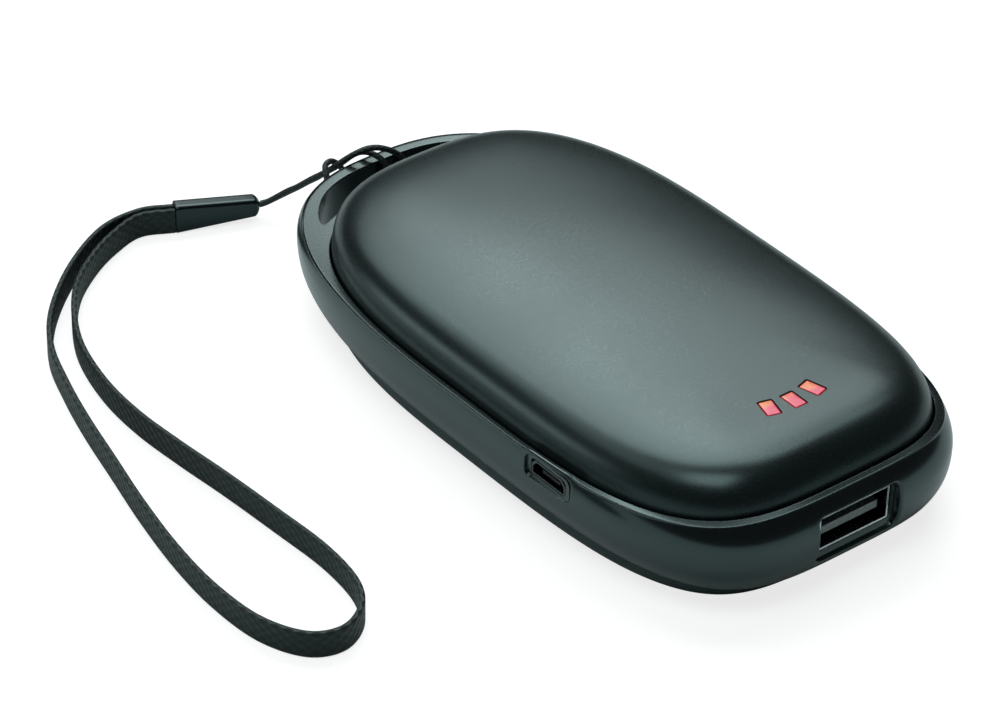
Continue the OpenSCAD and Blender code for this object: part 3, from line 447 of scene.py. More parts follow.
# Newton steps to where a surface has the flat coordinates asked for
def onSurface(surface, flat, target, guess):
    uv, h = np.tile(np.asarray(guess, float), (len(target), 1)), meshing["nudge"]
    for _ in range(meshing["newtonSteps"]):
        here = flat(surface(*uv.T))
        du = (flat(surface(uv[:, 0] + h, uv[:, 1])) - here) / h
        dv = (flat(surface(uv[:, 0], uv[:, 1] + h)) - here) / h
        e = target - here
        det = du[:, 0] * dv[:, 1] - du[:, 1] * dv[:, 0]
        step = np.stack([e[:, 0] * dv[:, 1] - e[:, 1] * dv[:, 0],
                         du[:, 0] * e[:, 1] - du[:, 1] * e[:, 0]], -1) / det[:, None]
        uv += np.clip(step, -meshing["longestStep"], meshing["longestStep"])
    return uv


stepsAround, firstDegree = 480, 20
around = np.radians(firstDegree + np.arange(stepsAround) * 360 / stepsAround)
farEnd = np.full(stepsAround, 2.0)    # where the second span of a wall or a face ends


# the grid's cells that hold an outline, with a margin; several grids can share the same cells
def cellsFor(cases, margin=3):
    spans, tryCounts = [], (60, 40)
    for surface, flat, loop, guess, v in cases:
        uv = onSurface(surface, flat, loop(tryCounts), guess)
        spans.append((np.searchsorted(around, uv[:, 0].min()) - margin,
                      np.searchsorted(around, uv[:, 0].max()) + margin - 1,
                      max(np.searchsorted(v, uv[:, 1].min()) - 2, 1),
                      min(np.searchsorted(v, uv[:, 1].max()) + 1, len(v) - 2)))
    i0, i1 = min(s[0] for s in spans), max(s[1] for s in spans)
    tall = max(s[3] - s[2] for s in spans)
    holes = []
    for (surface, flat, loop, guess, v), span in zip(cases, spans):
        j0 = int(np.clip((span[2] + span[3] - tall + 1) // 2, 1, len(v) - 2 - tall))
        holes.append(((i0, i1, j0, j0 + tall),
                      lambda counts, s=surface, f=flat, l=loop, g=guess: onSurface(s, f, l(counts), g)))
    return holes


crescent = {"barWidth": 2.0, "land": 1.6, "halfAngle": 35.0, "endPower": 8, "cornerAt": 0.985,
            "endTurn": 0.3, "endPoints": 60, "middlePoints": 300, "wallShares": (0.1, 0.5, 0.9)}


# crescent between the bar and the lid's rear edge, its half width a power curve that closes with round
# ends; x and y are turned about so that the outline runs the way the rings do
def slotLoop(counts, grow=0.0):
    def side(s, sign):
        a = np.pi / 2 + s * math.radians(crescent["halfAngle"])
        outer = bodyAt(a, rimDraw(a) + crescent["barWidth"])
        inner = lidAt(a, -crescent["land"])
        swell = (1 - np.abs(s) ** crescent["endPower"]) ** 0.5
        return (outer + inner) / 2 + sign * swell[:, None] * (outer - inner) / 2

    reach = math.cos(crescent["endTurn"])
    fine = np.concatenate([-np.cos(np.linspace(0, crescent["endTurn"], crescent["endPoints"])),
                           np.linspace(-reach, reach, crescent["middlePoints"])[1:-1],
                           np.cos(np.linspace(crescent["endTurn"], 0, crescent["endPoints"]))])
    loop = -np.vstack([side(fine, 1), side(fine[::-1], -1)])
    run = np.concatenate([[0], np.cumsum(np.hypot(*np.diff(loop, axis=0).T))])
    turn = [int(np.argmin(np.abs(fine - s))) for s in (-crescent["cornerAt"], crescent["cornerAt"])]
    n = len(fine)
    marks = run[[turn[0], turn[1], 2 * n - 1 - turn[1], 2 * n - 1 - turn[0]]]
    marks = np.append(marks, run[-1] + marks[0])
    at = np.concatenate([np.linspace(marks[k], marks[k + 1], c, endpoint=False)
                         for k, c in enumerate((counts[0], counts[1]) * 2)]) % run[-1]
    spots = np.stack([np.interp(at, run, loop[:, k]) for k in (0, 1)], -1)
    along = unit(np.roll(spots, -1, axis=0) - np.roll(spots, 1, axis=0))
    return spots + grow * np.stack([along[:, 1], -along[:, 0]], -1)


# a point's x and y in the slot's turned sense
def flipFlat(p):
    return -p[..., :2]


# two faces with the slot cut through both in the same cells: the edges of their holes, and the counts
# of points along them
def cutSlot(shell, top, under, grow):
    s, guess = rowsOver(case["shelfRows"]), (math.pi / 2, case["shelfGuess"])
    holes = cellsFor([(top, flipFlat, lambda counts: slotLoop(counts, grow), guess, s),
                      (under, flipFlat, slotLoop, guess, s)])
    upper, lower = (shell.grid(face, around, s, [hole])[0] for face, hole in zip((top, under), holes))
    i0, i1, j0, j1 = holes[0][0]
    return upper, lower, (i1 - i0, j1 - j0)


# each opening in the band: its outline at the face, the softened edge, the floor it is sunk to, the
# hole through that floor, where the search for it starts, which way is in, and the axis and sense in
# which its outline runs
openings = {
    "output": {"size": (14.8, 7.42), "corner": 0.95, "centre": (0, 9.8), "soft": 0.5, "floor": -55.3,
               "through": (13.4, 6.02, 0.5), "throughCentre": (0, 10.2), "guess": 270, "way": 1,
               "across": 0, "sense": 1},
    "charging": {"size": (9.5, 3.9), "corner": 1.25, "centre": (24.2, 11.81), "soft": 0.16, "floor": -29.6,
                 "through": (7.7, 2.8, 0.8), "guess": 203.7, "way": 1, "across": 1, "sense": -1},
    "key": {"size": (9.4, 2.8), "corner": 0.8, "centre": (-22, 10.36), "soft": 0.18, "floor": None,
            "through": (9.4, 2.8, 0.8), "guess": 338, "way": -1, "across": 1, "sense": 1}}
floorRings = ((0.0, 0.1), (-0.03, 0.03), (-0.1, 0.0))    # growth and height of each ring at a sunk floor


# an opening's flat outline put in its wall at given depths
def atOpening(o, flat, depth):
    sides = [o["sense"] * flat[:, 0], depth]
    return np.stack([sides[o["across"]], sides[1 - o["across"]], flat[:, 1]], -1)


# the band: outer wall, round ridge, groove, shelf with the slot, inner wall and foot
def makeBand():
    shell = Shell()
    vOut, vIn = rowsOver(case["outerRows"]), rowsOver(case["innerRows"])
    outerHoles, innerHoles = [], []
    for o in openings.values():
        atFace = lambda counts, grow=o["soft"], o=o: roundedLoop(
            o["size"][0] + 2 * grow, o["size"][1] + 2 * grow, o["corner"] + grow, counts, o["centre"])
        o["face"] = atFace
        o["hole"] = lambda counts, o=o: roundedLoop(*o["through"], counts,
                                                    o.get("throughCentre", o["centre"]))
        flat = lambda p, o=o: p[..., [o["across"], 2]] * [o["sense"], 1]
        guess = math.radians(o["guess"])
        pair = cellsFor([(outerWall, flat, atFace, (guess, case["outerGuess"]), vOut),
                         (innerWall, flat, o["hole"], (guess, case["innerGuess"]), vIn)])
        outerHoles.append(pair[0])
        innerHoles.append(pair[1])
    outerEdges = shell.grid(outerWall, around, vOut, outerHoles)
    innerEdges = shell.grid(innerWall, around, vIn, innerHoles)
    for o, cells, (outerIds, points), (innerIds, _) in zip(openings.values(), outerHoles, outerEdges,
                                                           innerEdges):
        i0, i1, j0, j1 = cells[0]
        counts, start = (i1 - i0, j1 - j0), points[:, 1 - o["across"]]
        loops = [atOpening(o, o["face"](counts, out), start + o["way"] * down)
                 for out, down in quarterRound(o["soft"], case["openingSteps"], 1)]
        if o["floor"] is not None:
            deep = np.full(len(start), o["floor"])
            loops += [atOpening(o, o["face"](counts, grow), deep - o["way"] * high)
                      for grow, high in floorRings]
            loops.append(atOpening(o, o["hole"](counts), deep))
        shell.join(shell.rings(outerIds, loops), innerIds)
    first = shell.add(outerWall(around, farEnd))
    top = shell.rings(first, [ridgeLoop(around, (1 - math.cos(t)) / 2,
                                        case["ridgeRound"] * (1 - math.sin(t)))
                              for t in np.radians(np.linspace(0, 180, case["ridgeSteps"])[1:])])
    shell.rings(top, [rimLoop(around, case["ridge"], case[drop]) for drop in ("grooveRing", "trimHeight")])
    shelf = between(lambda a: rimLoop(a, case["ridge"], case["trimHeight"]),
                    lambda a: lidLoop(a, -case["gap"], case["trimHeight"]))
    foot = between(lambda a: lift(bodyAt(a, case["seamInset"]), case["seam"]),
                   lambda a: lift(lidAt(a, case["tongueInset"]), case["seam"]))
    upper, lower, _ = cutSlot(shell, shelf, foot, 0.0)
    wall = [(1 - k) * upper[1] + k * lower[1] for k in crescent["wallShares"]]
    shell.join(shell.rings(upper[0], wall), lower[0])
    return shell.build("frameBand", "satin_frame")


# the lip: a thin ring with softened edges that widens into the face round the slot
def makeLip():
    shell = Shell()
    soft, high, start = case["trimSoft"], case["trimHeight"], case["ridge"] + case["groove"]
    fall = lambda a: case["lipDrop"] * frontShare(a)
    first = shell.add(rimLoop(around, start, high))
    shell.rings(first, [rimLoop(around, start + down, out + fall(around))
                        for out, down in quarterRound(soft)])
    first = shell.add(lidLoop(around, -case["gap"], high))
    shell.rings(first, [lidLoop(around, -case["gap"] - down, out) for out, down in quarterRound(soft)])
    top = between(lambda a: rimLoop(a, start + soft, fall(a)), lambda a: lidLoop(a, -case["gap"] - soft, 0))
    under = between(lambda a: rimLoop(a, start, high), lambda a: lidLoop(a, -case["gap"], high))
    upper, lower, counts = cutSlot(shell, top, under, soft)
    loops = [lift(-slotLoop(counts, out), upper[1][:, 2] - down)
             for out, down in quarterRound(soft, first=1)]
    shell.join(shell.rings(upper[0], loops), lower[0])
    return shell.build("innerLip", "satin_trim")


# how far in and up a shoulder is at a share of its quarter turn, on a superellipse
def shoulderIn(s):
    return 1 - np.cos(s * np.pi / 2) / normPower(s * np.pi / 2, lid["shoulderPower"])


def shoulderUp(s):
    return np.sin(s * np.pi / 2) / normPower(s * np.pi / 2, lid["shoulderPower"])


# the crown's height at a share of the way in from the widest line, which flattens as a power
def crownAt(share):
    return lid["crown"] * (1 - (1 - share) ** lid["crownPower"])


# the lid's face: r runs from 0 at the middle to 1 where the crown ends, then down the shoulder to 2;
# towards the middle its outer level lines turn from superellipses to plain ellipses. Near r = 1 a
# swell gives the crown the slope with which the shoulder starts, and the lean levels out there
def lidFace(wall):
    edge = lid["shoulder"] / lid["halfWidth"]
    slope = lid["crown"] * lid["crownPower"] * (1 - edge) ** (lid["crownPower"] - 1)

    def face(a, r):
        inner, s = np.minimum(r, 1), np.clip(2 - r, 0, 1)
        share = shoulderIn(s)
        inset = wall + (lid["shoulder"] - wall) * share
        ring = lidAt(a, lid["shoulder"])
        flat = np.where((r < 1)[..., None], inner[..., None] * ring, lidAt(a, inset))
        long = np.where(np.sin(a) < 0, lid["front"], lid["rear"]) - lid["shoulder"]
        round_ = np.hypot(flat[..., 0] / (lid["halfWidth"] - lid["shoulder"]), flat[..., 1] / long)
        blend = (1 - inner ** 2) ** 2
        even = inner if wall else np.sqrt(blend * round_ ** 2 + (1 - blend) * inner ** 2)
        reach = np.sum(ring * (lidAt(a, 0.0) - lidAt(a, 1.0)), axis=-1) / lid["halfWidth"]
        swell = slope * (reach - (1 - edge)) * inner ** lid["swellPower"] * (1 - inner)
        dome = np.where(r < 1, crownAt(1 - even * (1 - edge)) + swell, crownAt(inset / lid["halfWidth"]))
        level = np.where(r < 1, 1 - (1 - inner ** lid["leanPower"]) ** lid["leanFade"], share * (2 - share))
        lean = lid["frontLift"] * frontShare(a) * level
        return lift(flat, case["rim"] + (lid["shoulderHeight"] - wall) * shoulderUp(s) + dome + lean)
    return face


# the lower shell's face: flat out to r = 1, then the shoulder's curve upside down
def floorFace(wall):
    def face(a, r):
        inner, s = np.minimum(r, 1), np.clip(2 - r, 0, 1)
        inset = lid["bottomDraw"] + wall + (lid["shoulder"] - wall) * shoulderIn(s)
        flat = inner[..., None] * lidAt(a, inset)
        return lift(flat, case["seam"] - (case["seam"] - wall) * shoulderUp(s))
    return face


windows = {"width": 2.35, "length": 3.5, "corner": 0.3, "fanRadius": 15.0, "fanStep": 15.5,
           "places": (-1, 0, 1), "x": 0.6, "y": 41.0, "soft": 0.12, "guess": (1.5 * math.pi, 0.87),
           "guessStep": 0.12}


# a window's outline in x and minus y, turned with its place on the fan
def windowLoop(k, grow=0.0):
    t = math.radians(k * windows["fanStep"])
    turn = np.array([[math.cos(t), -math.sin(t)], [math.sin(t), math.cos(t)]])
    centre = np.array([windows["x"], windows["y"] - windows["fanRadius"]])

    def loop(counts):
        flat = roundedLoop(windows["width"] + 2 * grow, windows["length"] + 2 * grow,
                           windows["corner"] + grow, counts)
        return (flat + [0, windows["fanRadius"]]) @ turn.T + centre
    return loop


# where the search for a window on the lid starts
def windowGuess(k):
    return windows["guess"][0] + windows["guessStep"] * k, windows["guess"][1]


# a point's x and minus y
def frontFlat(p):
    return p[..., :2] * [1, -1]


# the top cover: its face and its inside with three windows, and a skirt with a softened foot
def makeLid():
    shell = Shell()
    r, soft, edge = rowsOver(lid["rows"]), windows["soft"], lid["skirtSoft"]
    outer, inner = lidFace(0.0), lidFace(lid["wall"])
    pairs = [cellsFor([(outer, frontFlat, windowLoop(k, soft), windowGuess(k), r),
                       (inner, frontFlat, windowLoop(k), windowGuess(k), r)], lid["cellMargin"])
             for k in windows["places"]]
    outerEdges = shell.grid(outer, around, r, [pair[0] for pair in pairs])
    innerEdges = shell.grid(inner, around, r, [pair[1] for pair in pairs])
    for k, pair, (outerIds, points), (innerIds, _) in zip(windows["places"], pairs, outerEdges,
                                                          innerEdges):
        i0, i1, j0, j1 = pair[0][0]
        counts = (i1 - i0, j1 - j0)
        loops = [lift(windowLoop(k, out)(counts) * [1, -1], points[:, 2] - down)
                 for out, down in quarterRound(soft, first=1)]
        shell.join(shell.rings(outerIds, loops), innerIds)
    low = case["rim"] - lid["skirt"]
    first = shell.add(outer(around, farEnd))
    last = shell.rings(first, [lift(lidAt(around, 0.0), low + edge), lift(lidAt(around, edge), low),
                               lift(lidAt(around, lid["wall"]), low)])
    shell.join(last, shell.add(inner(around, farEnd)))
    return shell.build("lidShell", "cover_shell")


# the bottom cover: its face and its inside, joined at the seam
def makeLowerShell():
    shell = Shell()
    r = rowsOver(lid["bottomRows"])
    outer, inner = floorFace(0.0), floorFace(lid["wall"])
    shell.grid(outer, around, r)
    shell.grid(inner, around, r)
    shell.join(shell.add(outer(around, farEnd)), shell.add(inner(around, farEnd)))
    return shell.build("lowerShell", "cover_shell")


guide = {"gap": 0.1, "sunk": 0.06, "soft": 0.2, "bulge": 0.05, "low": 15.41, "counts": (14, 20),
         "topShares": (0.15, 0.35, 0.6, 0.85), "bridge": 1.0, "bridgeWidth": 10.37, "bridgeLength": 1.75,
         "bridgeCorner": 0.2, "bridgeSoft": 0.1, "bridgeCounts": (20, 6)}


# the lit guide: three prongs with soft edges and slightly bulged tops, and the bridge between them
def makeLightGuide():
    shell = Shell()
    outer, counts = lidFace(0.0), guide["counts"]
    for k in windows["places"]:
        spots = windowLoop(k, -guide["gap"])(counts)
        top = outer(*onSurface(outer, frontFlat, spots, windowGuess(k)).T)[:, 2] - guide["sunk"]
        middle = spots.mean(axis=0)
        first = shell.add(lift(spots * [1, -1], guide["low"]))
        loops = [lift(windowLoop(k, -guide["gap"] - down)(counts) * [1, -1], top - out)
                 for out, down in quarterRound(guide["soft"])]
        face = loops[-1]
        loops += [face * [1 - q, 1 - q, 1]
                  + [q * middle[0], -q * middle[1], guide["bulge"] * (1 - (1 - q) ** 2)]
                  for q in guide["topShares"]]
        last = shell.rings(first, loops)
        shell.fan(first, (middle[0], -middle[1], guide["low"]))
        shell.fan(last, (middle[0], -middle[1], top.mean() + guide["bulge"]))
    soft, base = guide["bridgeSoft"], guide["low"] + guide["bridge"]
    plate = [lift(roundedLoop(guide["bridgeWidth"] - 2 * i, guide["bridgeLength"] - 2 * i,
                              guide["bridgeCorner"], guide["bridgeCounts"], (windows["x"], -windows["y"])), z)
             for i, z in ((soft, base), (0, base + soft), (0, base + guide["bridge"] - soft),
                          (soft, base + guide["bridge"]))]
    first = shell.add(plate[0])
    last = shell.rings(first, plate[1:])
    shell.fan(first, (windows["x"], -windows["y"], base))
    shell.fan(last, (windows["x"], -windows["y"], base + guide["bridge"]))
    return shell.build("guideProngs", "window_light")


frameBand = makeBand()
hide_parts("frame_ring")
innerLip = makeLip()
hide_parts("trim_ring")
lidShell = makeLid()
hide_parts("top_cover")
lowerShell = makeLowerShell()
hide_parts("bottom_cover")
guideProngs = makeLightGuide()
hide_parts("light_guide")
print("case made")


# a shader socket whose operators add Math nodes
class Wire:
    def __init__(self, paint, socket):
        self.paint, self.socket = paint, socket

    def apply(self, operation, *values):
        return self.paint.node("ShaderNodeMath", {"operation": operation}, values)

    def __add__(self, other):
        return self.apply("ADD", self, other)

    def __sub__(self, other):
        return self.apply("SUBTRACT", self, other)

    def __rsub__(self, other):
        return self.apply("SUBTRACT", other, self)

    def __mul__(self, other):
        return self.apply("MULTIPLY", self, other)

    # another output of the same node
    def part(self, output):
        return Wire(self.paint, self.socket.node.outputs[output])

    __radd__, __rmul__ = __add__, __mul__


noiseKinds = {"even": (2.0, 0.5), "fine": (2.0, 0.6), "broad": (3.0, 0.5)}    # detail and roughness


# the nodes of one new material, or of a world
class Paint:
    def __init__(self, name, world=None):
        self.owner = world or bpy.data.materials.new(name)
        self.owner.use_nodes = True
        self.tree = self.owner.node_tree
        self.tree.nodes.clear()
        self.end = self.tree.nodes.new("ShaderNodeOutputWorld" if world else "ShaderNodeOutputMaterial")

    # any node: its settings first, then the values or links of its sockets
    def node(self, kind, settings=None, values=(), output=0):
        made = self.tree.nodes.new(kind)
        for key, value in (settings or {}).items():
            setattr(made, key, value)
        for key, value in (values.items() if isinstance(values, dict) else enumerate(values)):
            if isinstance(value, Wire):
                self.tree.links.new(value.socket, made.inputs[key])
            else:
                made.inputs[key].default_value = value
        return Wire(self, made.outputs[output])

    # the piece's own place for a pattern, in metres or on its UV map
    def place(self, output="Object"):
        return self.node("ShaderNodeTexCoord", output=output)

    def split(self, vector):
        return self.node("ShaderNodeSeparateXYZ", {}, {0: vector})

    # a noise with so many features in a metre
    def noise(self, perMetre, kind):
        at = self.node("ShaderNodeMapping", {}, {"Vector": self.place(), "Scale": [perMetre] * 3})
        return self.node("ShaderNodeTexNoise", {}, {"Vector": at, "Scale": 1.0,
                                                    "Detail": noiseKinds[kind][0],
                                                    "Roughness": noiseKinds[kind][1]})

    # one colour led to another
    def blend(self, share, one, other):
        full = [c if isinstance(c, Wire) else (*c, 1) for c in (one, other)]
        return self.node("ShaderNodeMix", {"data_type": "RGBA"}, {0: share, 6: full[0], 7: full[1]}, 2)

    # a number led from one range to another, and held at its ends
    def span(self, value, fromLow, fromHigh, toLow=0.0, toHigh=1.0):
        return self.node("ShaderNodeMapRange", {}, {"Value": value, "From Min": fromLow,
                                                    "From Max": fromHigh, "To Min": toLow, "To Max": toHigh})

    # the sine of a length over a period in millimetres
    def wave(self, length, period):
        angle = length * (2 * math.pi / period)
        return angle.apply("SINE", angle)

    def bump(self, height, distance):
        return self.node("ShaderNodeBump", {}, {"Height": height, "Distance": distance})

    # leads a shader to the output; done makes the principled one from its values first
    def surface(self, shader):
        self.tree.links.new(shader.socket, self.end.inputs["Surface"])
        return self.owner

    def done(self, values):
        return self.surface(self.node("ShaderNodeBsdfPrincipled", {}, values))


middleBand = (0.3, 0.7)    # where most of a noise's values lie
usualFinish = {"rough": 0.5, "roughSpread": 0.04, "grain": 3000, "bump": 6e-6, "lighter": 1.4, "metal": 0.0,
               "specular": 0.5, "tint": (1, 1, 1), "grainBand": (0.35, 0.68), "cloud": 60.0,
               "cloudShare": 0.3, "cloudRough": 0.03}


# grained paint or moulding: a fine noise and a broad one vary the colour, the gloss and the surface
def grained(name, own):
    p, c = Paint(name), {**usualFinish, **own}
    grain, cloud = p.noise(c["grain"], "fine"), p.noise(c["cloud"], "broad")
    broad = p.span(cloud, *middleBand)
    mix = p.span(grain, *c["grainBand"]) * (1 - c["cloudShare"]) + broad * c["cloudShare"]
    rough = p.span(grain, *middleBand, c["rough"] - c["roughSpread"], c["rough"] + c["roughSpread"])
    return p.done({"Base Color": p.blend(mix, c["colour"], tuple(x * c["lighter"] for x in c["colour"])),
                   "Roughness": rough + (broad - 0.5) * c["cloudRough"], "Normal": p.bump(grain, c["bump"]),
                   "Metallic": c["metal"], "Specular IOR Level": c["specular"],
                   "Specular Tint": (*c["tint"], 1)})


# what differs from the usual finish, for each material slot
finishes = {
    "cover_shell": {"colour": (0.0035, 0.0055, 0.0058), "rough": 0.31, "grain": 3400, "bump": 4e-6,
                    "lighter": 1.8, "tint": (0.72, 1, 1)},
    "satin_frame": {"colour": (0.003, 0.0045, 0.0048), "rough": 0.2, "roughSpread": 0.015, "grain": 5000,
                    "bump": 6e-7, "lighter": 1.2, "tint": (0.76, 1, 1), "specular": 0.85},
    "satin_trim": {"colour": (0.008, 0.011, 0.0112), "rough": 0.27, "roughSpread": 0.015, "grain": 5000,
                   "bump": 6e-7, "lighter": 1.2, "tint": (0.74, 1, 1), "specular": 0.8},
    "socket_metal": {"colour": (0.5, 0.51, 0.52), "rough": 0.3, "bump": 4e-6, "metal": 1.0,
                     "lighter": 1.15},
    "pale_insulator": {"colour": (0.16, 0.19, 0.19), "bump": 1.2e-5, "lighter": 2.2},
    "black_insulator": {"colour": (0.015, 0.015, 0.016), "rough": 0.45, "grain": 4000},
    "gilt_contact": {"colour": (0.75, 0.55, 0.22), "rough": 0.25, "bump": 3e-6, "metal": 1.0,
                     "lighter": 1.15},
    "circuit_board": {"colour": (0.012, 0.1, 0.04), "rough": 0.35, "grain": 2500, "lighter": 1.5},
    "ferrite": {"colour": (0.05, 0.05, 0.053), "rough": 0.6, "grain": 3500, "bump": 2e-5},
    "ceramic": {"colour": (0.3, 0.19, 0.1), "grain": 3500, "bump": 1e-5},
    "screw_steel": {"colour": (0.5, 0.5, 0.51), "rough": 0.32, "grain": 2500, "metal": 1.0, "lighter": 1.2},
    "chassis_plastic": {"colour": (0.05, 0.05, 0.055), "bump": 1.5e-5},
    "cell_pouch": {"colour": (0.55, 0.57, 0.6), "rough": 0.35, "grain": 900, "bump": 3e-5, "metal": 1.0,
                   "lighter": 1.2},
    "foam": {"colour": (0.04, 0.04, 0.043), "rough": 0.9, "grain": 1800, "bump": 1e-4},
    "wire_sleeve": {"colour": (0.3, 0.02, 0.02), "rough": 0.4, "grain": 1500},
    "heating_film": {"colour": (0.36, 0.14, 0.02), "rough": 0.3, "grain": 1200, "bump": 8e-6,
                     "lighter": 1.6},
    "ferrule_plastic": {"colour": (0.002, 0.003, 0.0032), "rough": 0.24, "roughSpread": 0.015,
                        "grain": 4500, "bump": 6e-7, "lighter": 1.2, "tint": (0.72, 1, 1),
                        "specular": 0.45},
}


weave = {"lowest": -0.5, "fibre": 6000, "fibreShare": 0.2, "rough": 0.6, "roughFall": 0.1, "specular": 0.5,
         "tint": (0.8, 1, 1)}


# braid on the piece's own lengths: the product of two waves makes rows of stitches, each row offset
# by half a stitch from the next; the hollows between stitches are painted darker as shade, with fibre tone
# from a fine noise
def braided(name, own):
    p, c = Paint(name), {**weave, **own}
    uv = p.split(p.place("UV"))
    height = p.wave(uv.part(0), c["row"]) * p.wave(uv.part(1), c["stitch"])
    fibre = p.noise(c["fibre"], "fine")
    # painted shade in the stitches' hollows, from the waves' height, plus the fibres' own tone
    stitchShadeAndFibre = p.span(height, c["lowest"], 1.0) * (1 - c["fibreShare"]) + fibre * c["fibreShare"]
    return p.done({"Base Color": p.blend(stitchShadeAndFibre, c["low"], c["high"]),
                   "Roughness": c["rough"] - stitchShadeAndFibre * c["roughFall"], "Normal": p.bump(stitchShadeAndFibre, c["depth"]),
                   "Specular IOR Level": c["specular"], "Specular Tint": (*c["tint"], 1)})


# the lit guide glows paler red on its top and a darker red at its rim and sides, which is painted shade in
# the windows, with a painted warm glint near one end
def litGuide(name, c):
    p = Paint(name)
    cloud = p.noise(c["cloud"], "broad")
    rise = p.split(p.node("ShaderNodeNewGeometry", output="Normal")).part(2)
    along = p.split(p.place()).part(1)
    # the upward-facing top takes the face colour, the sides the rim red as painted shade
    face = p.span(rise, *c["faceBand"])
    # a painted warm glint near one end, broken up by the cloud noise
    paintedGlint = p.span(cloud + (along - c["glintLine"]) * c["glintSlope"], *c["glintBand"])
    glow = p.blend(face, c["rim"], p.blend(paintedGlint * c["glintShare"], c["face"], c["paintedGlint"]))
    return p.done({"Base Color": (*c["unlit"], 1), "Roughness": p.span(cloud, *middleBand, *c["rough"]),
                   "Specular IOR Level": c["specular"], "Normal": p.bump(cloud, c["bump"]),
                   "Emission Color": glow, "Emission Strength": c["strength"]})


sheet = {"grain": 3000, "rough": (0.22, 0.34), "bump": 3e-6}


# plated sheet in its own bright metal at its cut front edge and painted dark further inside as shade, told
# apart by one coordinate
def socketSheet(name, c):
    p = Paint(name)
    at = p.split(p.place()).part(c["axis"])
    # 1 at the front edge, 0 a band's depth further in, where the inside colour's painted shade takes over
    edge = p.span(at, (c["edge"] + c["band"]) * mm, c["edge"] * mm)
    grain = p.noise(sheet["grain"], "even")
    return p.done({"Base Color": p.blend(edge, c["inside"], c["front"]), "Metallic": 1.0,
                   "Roughness": p.span(grain, *middleBand, *sheet["rough"]),
                   "Normal": p.bump(grain, sheet["bump"])})


materials = {name: grained(name + "Finish", c) for name, c in finishes.items()}
# low is painted shade in the braid's hollows, high the colour on the stitches' tops
materials["braid"] = braided("strapBraid", {
    "row": 1.5, "stitch": 1.9, "depth": 2e-4, "low": (0.0015, 0.0022, 0.0022), "high": (0.012, 0.016, 0.016)})
cordBraid = braided("cordBraid", {
    "row": 0.746, "stitch": 0.9, "depth": 8e-5, "low": (0.003, 0.004, 0.004), "high": (0.014, 0.018, 0.018)})
underPaint = grained("underFinish", {**finishes["cover_shell"], "colour": (0.008, 0.014, 0.0145),
                                     "rough": 0.45})
# rim is painted shade on the prongs' sides; the warm colour is a painted glint
materials["window_light"] = litGuide("litGuide", {
    "rim": (0.3, 0.002, 0.01), "face": (0.72, 0.09, 0.16), "paintedGlint": (0.85, 0.36, 0.1),
    "unlit": (0.05, 0.004, 0.006), "faceBand": (0.8, 0.99), "glintLine": -0.0408, "glintSlope": 180,
    "glintBand": (0.5, 0.75), "glintShare": 0.75, "cloud": 420, "rough": (0.18, 0.26), "specular": 0.3,
    "bump": 2e-5, "strength": 0.9})
# the inside colours are painted shade deep in the sockets; the charging sheet's front is painted dark as
# shade too
materials["usb_a_shell"] = socketSheet("outputSheet", {
    "axis": 1, "edge": -55.3, "band": 0.12, "inside": (0.035, 0.04, 0.042), "front": (0.75, 0.78, 0.78)})
materials["micro_usb_shell"] = socketSheet("chargingSheet", {
    "axis": 0, "edge": -29.6, "band": 0.1, "inside": (0.02, 0.022, 0.024), "front": (0.07, 0.08, 0.08)})
# a CAD solid takes the paint made for its own name, or else for its material slot
for subpart in frame["record"]["subparts"]:
    for slot in bpy.data.objects[subpart["node"]].material_slots:
        slot.material = materials.get(subpart["node"], materials[subpart["material_slot"]])
ownPaint = {"thinCord": cordBraid, "lowerShell": underPaint}
for piece in (frameBand, innerLip, lidShell, lowerShell, guideProngs, cordSleeve, wristStrap, thinCord):
    piece.data.materials.append(ownPaint.get(piece.name, materials[piece["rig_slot"]]))
print("materials made")


floorPaint = {"half": 4, "paper": (0.52, 0.54, 0.54), "seen": (1.45, 1.53, 1.51),
              "mirrored": (0.55, 0.62, 0.62), "whiteShare": 0.78}


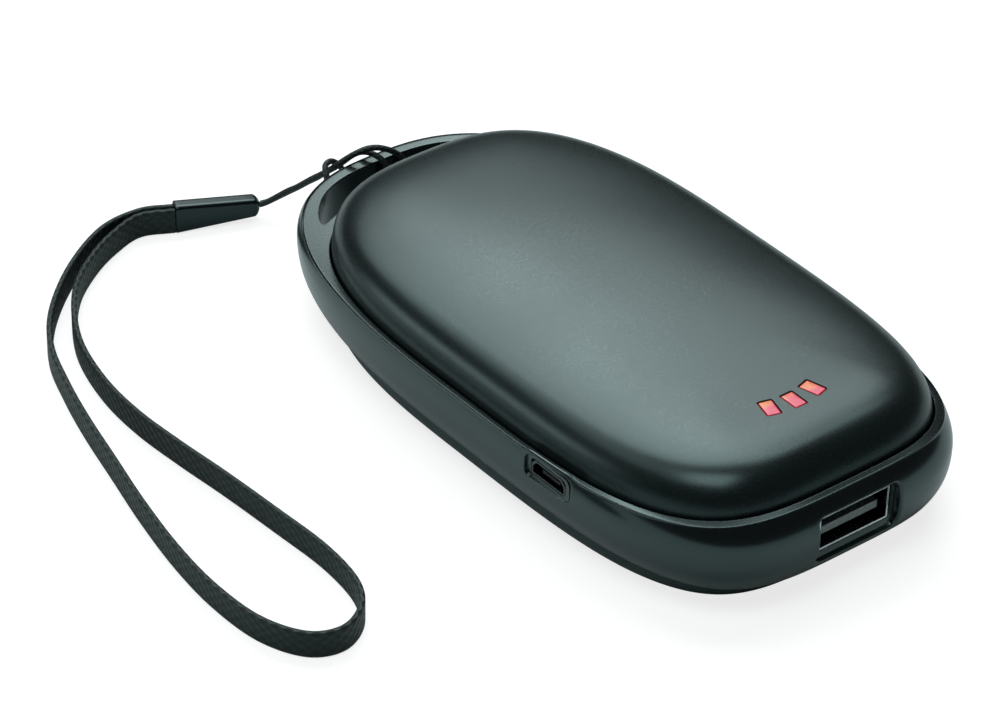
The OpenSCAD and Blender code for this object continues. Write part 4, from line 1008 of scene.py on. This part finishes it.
# a square of pale paper under the object
def makeFloor():
    mesh, h = bpy.data.meshes.new("paleFloor"), floorPaint["half"]
    mesh.from_pydata([(-h, -h, 0), (h, -h, 0), (h, h, 0), (-h, h, 0)], [], [(0, 1, 2, 3)])
    floor = linked("paleFloor", mesh)
    p = Paint("paleFloor")
    camera = p.node("ShaderNodeLightPath")
    mirrored = camera.part("Is Glossy Ray") + camera.part("Is Transmission Ray")
    # the camera sees the paper whiter, its shadows thinned by a share of plain white,
    # and metal and glass mirror a paler paper too
    plain = p.blend(camera, floorPaint["paper"], floorPaint["seen"])
    colour = p.blend(mirrored, plain, floorPaint["mirrored"])
    paper = p.node("ShaderNodeBsdfDiffuse", {}, {"Color": colour})
    white = p.node("ShaderNodeEmission", {}, {"Color": (1, 1, 1, 1), "Strength": 1.0})
    paint = p.node("ShaderNodeMixShader", {}, {0: camera * floorPaint["whiteShare"], 1: paper, 2: white})
    mesh.materials.append(p.surface(paint))


# soft lamps: azimuth, elevation, width and height in metres, and radiance
lamps = {"farBox": (47, 44, 0.54, 0.54, 4.1), "farSide": (79, 45, 1.0, 0.5, 2.8),
         "farTop": (50, 64, 1.2, 0.4, 4.5), "leftLow": (140, 12, 0.7, 0.35, 2.7),
         "leftHigh": (130, 52, 0.7, 0.4, 1.4), "nearTop": (-150, 70, 0.8, 0.6, 4.3)}
lampColour, lampDistance = (0.95, 1, 1), 1.3


# a lamp's power is pi times its area times its radiance
def softLamp(name, azimuth, elevation, width, height, radiance):
    data = bpy.data.lights.new(name, "AREA")
    data.shape, data.size, data.size_y = "RECTANGLE", width, height
    data.energy, data.color = math.pi * width * height * radiance, lampColour
    directions = facing(azimuth, elevation)
    stand(linked(name, data), *directions, directions[2] * lampDistance)


for name, values in lamps.items():
    softLamp(name, *values)


roomLevel = 0.04


# the room is dim, and white where the camera looks past the floor
def makeWorld():
    world = bpy.data.worlds.new("studio")
    bpy.context.scene.world = world
    p = Paint("studio", world)
    level = p.span(p.node("ShaderNodeLightPath"), 0.0, 1.0, roomLevel, 1.0)
    p.surface(p.node("ShaderNodeBackground", {}, {"Color": (1, 1, 1, 1), "Strength": level}))


makeWorld()
makeFloor()
bpy.context.scene.view_settings.view_transform = "Standard"
print("stage made")
